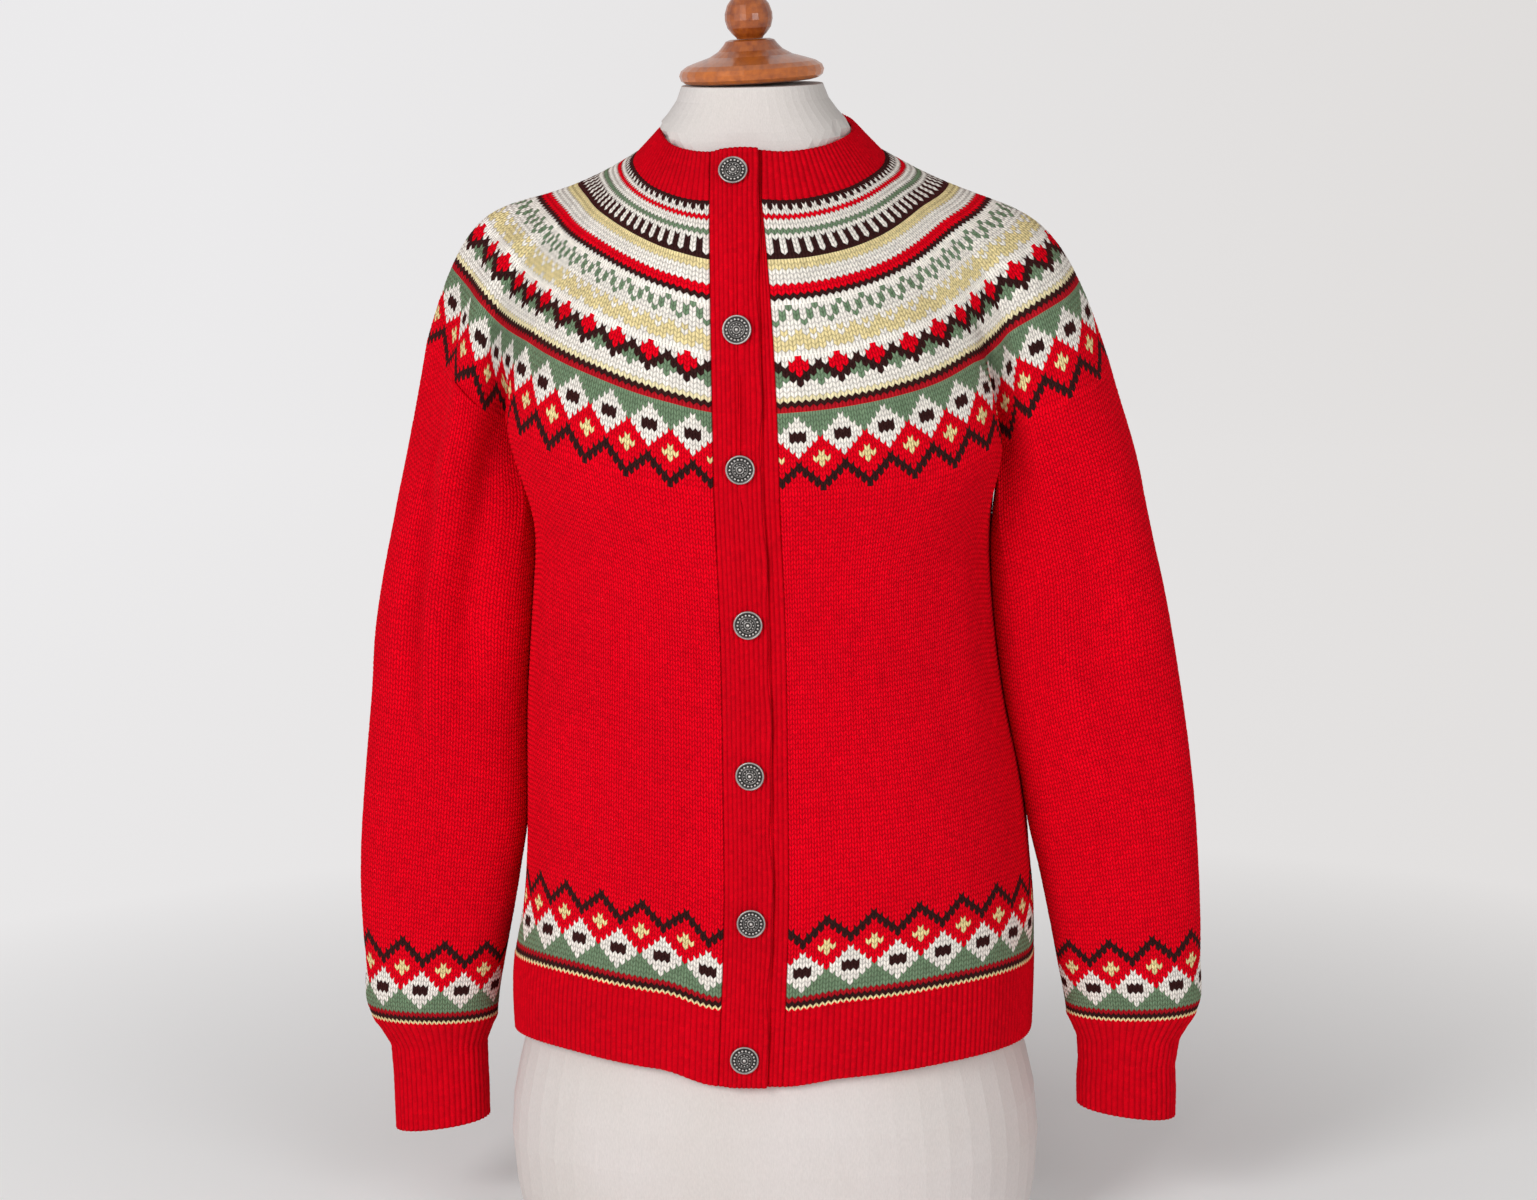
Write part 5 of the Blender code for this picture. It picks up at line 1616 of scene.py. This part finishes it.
@dataclass
class Cardigan:
    """The knitted cardigan: yoke, fronts, back, sleeves, ribs and bands."""

    red: Finish = RED_WOOL
    patterned: Finish = PATTERN_WOOL
    # Numbers of stitches, then both of stitches and of rows for each rib.
    front_stitches: int = 57
    back_stitches: int = 115
    sleeve_stitches: int = 72
    neck_rib: tuple[int, int] = (112, 9)
    hem_rib: tuple[int, int] = (232, 15)
    cuff_rib: tuple[int, int] = (46, 19)
    band_rib: tuple[int, int] = (10, 182)
    body_rows: int = 106
    sleeve_rows: int = 132
    # The stitch at which the middle of the first repeat lies.
    yoke_repeat: int = 3
    hem_repeat: int = 2
    sleeve_repeat: int = 4
    # Shares of a piece: between two bands of the yoke, and how far the neckband runs down.
    band_gap: float = 0.001
    neck_end: float = 1.012
    # How many lines the ground of each front band is read at.
    under_lines: int = 9
    over_lines: int = 21
    dice: np.random.Generator = field(default_factory=lambda: np.random.default_rng(SEED))
    wools: dict[str, bpy.types.Material] = field(default_factory=dict)
    pieces: list[bpy.types.Object] = field(default_factory=list)

    def build(self) -> list[bpy.types.Object]:
        """Returns:
            The pieces.
        """
        self.wools = {"red_wool": wool_material(self.red),
                      "patterned_wool": wool_material(self.patterned)}
        self.yoke()
        self.body()
        for side, name in ((+1, "left"), (-1, "right")):
            self.sleeve(side, name)
        self.bands()
        return self.pieces

    def declare(self, shell: Shell, slot: str = "red_wool") -> None:
        """Build a shell, attach it to the root and hide its CAD node; its flat cut is worked out
        and left unused.

        Args:
            shell: the shell, which has its CAD node's name.
            slot: the material slot.
        """
        piece, cut = shell.build(self.wools[slot], self.dice)
        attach(piece, ROOT)
        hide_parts(shell.name)
        self.pieces.append(piece)

    def yoke(self) -> None:
        """Knit the round yoke with its bands of pattern, and the ribbed neckband."""
        spans = {side: BASE[side].length - front_edge(side, BASE_FRONT) for side in (+1, -1)}
        total = sum(len(band.rows) for band in YOKE_BANDS)
        bands, done = [], 0
        for stitches, rows in YOKE_BANDS:
            top, done = done, done + len(rows)
            bands.append(KnitBand(stitches, len(rows), row_chart(rows, self.yoke_repeat),
                                  top / total + self.band_gap, done / total - self.band_gap))
        surface = partial(joined, yoke_half, 0.0, spans[+1] / (spans[+1] + spans[-1]))
        self.declare(Shell("yoke", surface, bands), "patterned_wool")
        neckband = Shell("neckband", partial(joined, neck_half, 0.0, 0.5),
                         ribbed(self.neck_rib, 0.0, self.neck_end), Texture.RIB)
        self.declare(neckband)

    @staticmethod
    def side_share(side: int) -> float:
        """Give the share of half the body's way round at which its side seam lies.

        Args:
            side: +1 for the wearer's left, -1 for the right.

        Returns:
            The share.
        """
        edge = front_edge(side, BASE_FRONT)
        ring = BASE[side]
        top_length = lengths_along(body_top(side))[-1]
        front_at = ring.marks[FRONT_VALLEY]
        back_at = ring.marks[BACK_VALLEY] - ring.length + top_length
        return float(((front_at + back_at) / 2 - edge) / (top_length - edge))

    def body(self) -> None:
        """Knit the two fronts, the back and the hem rib."""
        shares = {side: self.side_share(side) for side in (+1, -1)}
        for side, name in ((+1, "front_left"), (-1, "front_right")):
            band = KnitBand(self.front_stitches, self.body_rows,
                            border_chart(self.body_rows, self.hem_repeat), -LAP)
            shell = Shell(name, partial(front_half, side, shares[side]), [band], sense=side)
            self.declare(shell)
        band = KnitBand(self.back_stitches, self.body_rows,
                        border_chart(self.body_rows, self.hem_repeat - self.front_stitches), -LAP)
        surface = partial(joined, body_half, (shares[+1] + shares[-1]) / 2, 0.5)
        self.declare(Shell("back", surface, [band]))
        shell = Shell("hem_rib", partial(joined, body_half, 0.0, 0.5),
                      ribbed(self.hem_rib, 1.0 - LAP, 2.0), Texture.RIB, RIB_WALL)
        self.declare(shell)

    def sleeve(self, side: int, name: str) -> None:
        """Knit a side's sleeve and its cuff.

        Args:
            side: +1 for the wearer's left, -1 for the right.
            name: the side's name.
        """
        surface = partial(sleeve_ring, side)
        band = KnitBand(self.sleeve_stitches, self.sleeve_rows,
                        border_chart(self.sleeve_rows, self.sleeve_repeat), -LAP)
        sleeve = Shell("sleeve_" + name, surface, [band], sense=side, closed=True)
        self.declare(sleeve)
        cuff = Shell("cuff_" + name, surface, ribbed(self.cuff_rib, 1.0 - LAP, 2.0), Texture.RIB,
                     RIB_WALL, sense=side, closed=True)
        self.declare(cuff)

    def bands(self) -> None:
        """Knit the button band and the buttonhole band that lies over it."""
        def read_band(ground: Points, run: Points, places: Points, columns: Points, rows: Points
                      ) -> Points:
            """Place points of a front band between the lines of its ground."""
            lines = smooth(run, ground, rows)
            return smooth(places, lines.transpose(1, 0, 2), columns).transpose(1, 0, 2)

        for name, ends, count, wall, below in (
                ("button_band", UNDER_BAND, self.under_lines, RIB_WALL, "form_torso"),
                ("buttonhole_band", OVER_BAND, self.over_lines, WALL, "button_band_knit")):
            offsets = np.linspace(*ends, count)
            ground = band_ground(offsets)
            if name == "buttonhole_band":
                rise = soft_step((offsets - OVER_BAND[0]) / LIFT_RUN) * OVER_LIFT
                ground = ground - inward_of(ground) * rise[None, :, None]
                free = soft_step((offsets - FREE_FROM) / FREE_RUN)
                sway = sum(size * np.sin(ground[:, -1, 2] / run) for size, run in BAND_SWAY)
                ground[..., 0] += free[None, :] * sway[:, None]
            run = lengths_along(ground[:, count // 2])
            places = (offsets - offsets[0]) / (offsets[-1] - offsets[0])
            surface = partial(read_band, ground, run / run[-1], places)
            band = Shell(name, surface, ribbed(self.band_rib), Texture.RIB, wall)
            self.declare(band)


# ---------------------------------------------------------------- buttons

class BeadRing(NamedTuple):
    """A ring of beads on a button, in millimetres."""

    radius: float
    count: int
    bead: float
    height: float


class ProfileRow(NamedTuple):
    """A place on a turned profile and how worn bright it is."""

    radius: float
    height: float
    raised: float


@dataclass
class Button:
    """A domed pewter button with a plain rim and rings of beads."""

    finish: Finish = PEWTER
    steps: int = 48
    spread: float = 2.0
    bead_raised: float = 0.95
    profile: tuple[ProfileRow, ...] = table(
        ProfileRow,
        (0.0, 3.9, 0.9), (0.7, 3.8, 0.9), (1.15, 3.3, 0.5), (1.3, 3.0, 0.05), (1.9, 3.0, 0.05),
        (2.2, 3.3, 0.45), (2.6, 3.3, 0.45), (2.9, 2.9, 0.05), (4.8, 2.75, 0.08), (5.1, 3.0, 0.25),
        (5.4, 3.0, 0.25), (5.7, 2.6, 0.05), (8.4, 2.2, 0.05), (8.8, 2.6, 0.25), (9.3, 2.9, 0.7),
        (9.8, 2.7, 0.6), (10.0, 2.0, 0.4), (9.6, 1.1, 0.2), (8.6, 0.4, 0.1), (7.6, 0.0, 0.0),
        (0.0, 0.0, 0.0),
    )
    rings: tuple[BeadRing, ...] = (
        BeadRing(7.05, 18, 0.80, 2.6), BeadRing(3.9, 12, 0.48, 3.0),
    )

    def mesh(self, material: bpy.types.Material
             ) -> tuple[Points, list[tuple[int, ...]], Points]:
        """Make one button, facing +Z.

        Args:
            material: the pewter.

        Returns:
            Its points in millimetres, its faces and how raised each point is.
        """
        turns = math.tau * np.arange(self.steps) / self.steps
        points = np.array([(row.radius * math.cos(turn), row.radius * math.sin(turn), row.height)
                           for row in self.profile for turn in turns])
        raised = np.repeat([row.raised for row in self.profile], self.steps)
        faces: list[tuple[int, ...]] = []
        for start in range(0, len(points) - self.steps, self.steps):
            for step in range(self.steps):
                a, b = start + step, start + (step + 1) % self.steps
                faces.append((a, a + self.steps, b + self.steps, b))
        for ring in self.rings:
            beads = bead_ring(ring, material)
            start = len(points)
            places = np.array([vertex.co[:] for vertex in beads.vertices]) / MM
            points = np.vstack([points, places])
            raised = np.concatenate([raised, np.full(len(places), self.bead_raised)])
            faces += [tuple(start + index for index in face.vertices)
                      for face in beads.polygons]
            bpy.data.meshes.remove(beads)
        return points, faces, raised

    def build(self) -> list[bpy.types.Object]:
        """Place the seven buttons on the buttonhole band.

        Returns:
            The buttons.
        """
        material = pewter_material(self.finish)
        pieces = []
        points, faces, raised = self.mesh(material)
        ground = band_ground(np.array([-self.spread, 0.0, self.spread]))
        order = np.argsort(ground[:, 1, 2])
        line, faced = ground[order, 1], -inward_of(ground)[order, 1]
        for number, row in enumerate(BUTTONS, start=1):
            y = float(read_line(line, row.height, line[:, 2])[1])
            face = read_line(faced, row.height, line[:, 2])
            normal = Vector((0.0, face[1], face[2])).normalized()
            centre = Vector((float(band_shift(row.height)) + row.shift, y, row.height))
            seat = centre + normal * (OVER_LIFT + BUTTON_SEAT)
            turn = (Matrix.Rotation(math.radians(row.turn), 4, "Z")
                    @ Matrix.Rotation(math.radians(row.tip), 4, "X")
                    @ normal.to_track_quat("Z", "Y").to_matrix().to_4x4())
            place = Matrix.Translation(seat) @ turn
            moved = np.array([(place @ Vector(point))[:] for point in points]) * MM
            name = "button_%d" % number
            mesh = bpy.data.meshes.new(name + "_pewter")
            mesh.from_pydata(moved, [], faces)
            layer = mesh.attributes.new("raised", "FLOAT", "POINT")
            layer.data.foreach_set("value", raised)
            face_outwards(mesh)
            mesh.materials.append(material)
            mesh.shade_smooth()
            piece = link_object(name + "_pewter", mesh)
            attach(piece, ROOT)
            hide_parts(name)
            pieces.append(piece)
        return pieces


def bead_ring(ring: BeadRing, material: bpy.types.Material) -> bpy.types.Mesh:
    """Repeat a bead round a ring with geometry nodes.

    Args:
        ring: the ring's sizes.
        material: the pewter.

    Returns:
        The beads as a plain mesh.
    """
    group = bpy.data.node_groups.new("bead_ring", "GeometryNodeTree")
    given = {}
    for name, kind, value in (("Radius", "NodeSocketFloat", ring.radius * MM),
                              ("Beads", "NodeSocketInt", ring.count),
                              ("Bead Radius", "NodeSocketFloat", ring.bead * MM),
                              ("Height", "NodeSocketFloat", ring.height * MM)):
        socket = group.interface.new_socket(name=name, in_out="INPUT", socket_type=kind)
        given[socket.identifier] = value
    group.interface.new_socket(name="Ring", in_out="OUTPUT", socket_type="NodeSocketGeometry")
    kinds = ("NodeGroupInput", "GeometryNodeMeshCircle", "GeometryNodeMeshIcoSphere",
             "GeometryNodeInstanceOnPoints", "ShaderNodeCombineXYZ", "GeometryNodeTransform",
             "GeometryNodeRealizeInstances", "GeometryNodeSetMaterial", "NodeGroupOutput")
    sizes, circle, bead, spread, lift, move, real, paint, result = (
        group.nodes.new(kind) for kind in kinds)
    bead.inputs["Subdivisions"].default_value = 2
    paint.inputs["Material"].default_value = material
    for start, end in (
        (sizes.outputs["Beads"], circle.inputs["Vertices"]),
        (sizes.outputs["Radius"], circle.inputs["Radius"]),
        (sizes.outputs["Bead Radius"], bead.inputs["Radius"]),
        (sizes.outputs["Height"], lift.inputs["Z"]),
        (circle.outputs["Mesh"], spread.inputs["Points"]),
        (bead.outputs["Mesh"], spread.inputs["Instance"]),
        (spread.outputs["Instances"], move.inputs["Geometry"]),
        (lift.outputs[0], move.inputs["Translation"]),
        (move.outputs["Geometry"], real.inputs["Geometry"]),
        (real.outputs["Geometry"], paint.inputs["Geometry"]),
        (paint.outputs["Geometry"], result.inputs["Ring"]),
    ):
        group.links.new(start, end)
    holder = link_object("bead_holder", bpy.data.meshes.new("bead_holder"))
    modifier = holder.modifiers.new("Beads", "NODES")
    modifier.node_group = group
    for identifier, value in given.items():
        modifier[identifier] = value
    graph = bpy.context.evaluated_depsgraph_get()
    mesh = bpy.data.meshes.new_from_object(holder.evaluated_get(graph))
    holder.modifiers.remove(modifier)
    bpy.data.objects.remove(holder, do_unlink=True)
    bpy.data.node_groups.remove(group)
    return mesh


# ---------------------------------------------------------------- form, stage and view

@dataclass
class DressForm:
    """The limbless form, whose CAD shapes stay as they are and get their finishes."""

    cloth: Finish = JERSEY
    wood: Finish = VARNISH
    wood_nodes: tuple[str, ...] = ("form_neck_cap", "form_finial")

    def dress(self) -> list[bpy.types.Object]:
        """Give the form's shapes their finishes.

        Returns:
            The shapes.
        """
        materials = {"form_torso": jersey_material(self.cloth)}
        materials.update(dict.fromkeys(self.wood_nodes, wood_material(self.wood)))
        shapes = []
        for node, material in materials.items():
            shapes.append(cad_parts[node])
            for slot in shapes[-1].material_slots:
                slot.material = material
        return shapes


@dataclass
class Studio:
    """The pale sweep behind the form, soft lights and the camera."""

    sweep_half_width: float = 6.0
    wall_distance: float = 5.2
    bend_radius: float = 1.2
    wall_top: float = 4.0
    distance: float = 2.65
    azimuth: float = 6.1
    camera_height: float = 0.940
    aim_height: float = 0.459
    aim_shift: float = 0.0036
    roll: float = 1.23
    lens: float = 88.4
    # The strength that the air lights with, and the one that it is seen with.
    air_light: float = 0.42
    air_seen: float = 0.82
    air_colour: str = "F6F5F4"
    sweep_front: float = -4.5
    bend_steps: int = 16

    def build(self) -> None:
        """Set the stage."""
        self.sweep()
        middle = (0.0, 0.0, 0.5)
        self.light("key", (-1.6, -2.5, 1.6), middle, 1.5, 60.0)
        self.light("fill", (1.9, -2.4, 1.2), middle, 1.8, 30.0)
        world = bpy.data.worlds.new("studio")
        world.use_nodes = True
        air = Nodes(world.node_tree)
        air.fill(air.tree.nodes["Background"], {
            "Color": linear(self.air_colour),
            "Strength": air.span(air.seen(), 0.0, 1.0, self.air_light, self.air_seen)})
        bpy.context.scene.world = world
        bpy.context.scene.view_settings.view_transform = "Standard"
        self.camera()

    def sweep(self) -> None:
        """Build the floor that bends up into a wall."""
        line = [(self.sweep_front, 0.0), (self.wall_distance - self.bend_radius, 0.0)]
        for step in range(1, self.bend_steps + 1):
            angle = math.pi / 2 * step / self.bend_steps
            line.append((self.wall_distance - self.bend_radius * (1 - math.sin(angle)),
                         self.bend_radius * (1 - math.cos(angle))))
        line.append((self.wall_distance, self.wall_top))
        points = [(x, y, z) for x in (-self.sweep_half_width, self.sweep_half_width)
                  for y, z in line]
        count = len(line)
        faces = [(i, i + 1, count + i + 1, count + i) for i in range(count - 1)]
        mesh = bpy.data.meshes.new("studio_sweep")
        mesh.from_pydata(points, [], faces)
        mesh.materials.append(sweep_material(SWEEP))
        mesh.shade_smooth()
        link_object("studio_sweep", mesh)

    @staticmethod
    def light(name: str, place: tuple[float, float, float], aim: tuple[float, float, float],
              size: float, power: float) -> None:
        """Hang a soft lamp.

        Args:
            name: the lamp's name.
            place: where it hangs, in metres.
            aim: the point it faces.
            size: the width of its disk.
            power: its power in watts.
        """
        lamp = bpy.data.lights.new(name, "AREA")
        lamp.shape = "DISK"
        lamp.size = size
        lamp.energy = power
        thing = bpy.data.objects.new(name, lamp)
        thing.location = place
        way = Vector(aim) - Vector(place)
        thing.rotation_euler = way.to_track_quat("-Z", "Y").to_euler()
        thing.visible_camera = False
        bpy.context.scene.collection.objects.link(thing)

    def camera(self) -> None:
        """Place the camera."""
        eye = bpy.data.cameras.new("camera")
        eye.sensor_width = 36.0
        eye.lens = self.lens
        eye.clip_end = 50.0
        thing = bpy.data.objects.new("camera", eye)
        angle = math.radians(self.azimuth)
        place = Vector((self.distance * math.sin(angle), -self.distance * math.cos(angle),
                        self.camera_height))
        aim = Vector((self.aim_shift, 0.0, self.aim_height)) - place
        turn = aim.to_track_quat("-Z", "Y").to_matrix().to_4x4()
        roll = Matrix.Rotation(math.radians(-self.roll), 4, "Z")
        thing.matrix_world = Matrix.Translation(place) @ turn @ roll
        bpy.context.scene.collection.objects.link(thing)
        bpy.context.scene.camera = thing


def main() -> None:
    """Dress the cardigan, the form and the studio."""
    logging.basicConfig(level=logging.INFO, format="%(name)s: %(message)s")
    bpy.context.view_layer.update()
    for piece in Cardigan().build() + Button().build() + DressForm().dress():
        LOG.info("%s: %d faces", piece.name, len(piece.data.polygons))
    Studio().build()


if __name__ == "__main__":
    main()
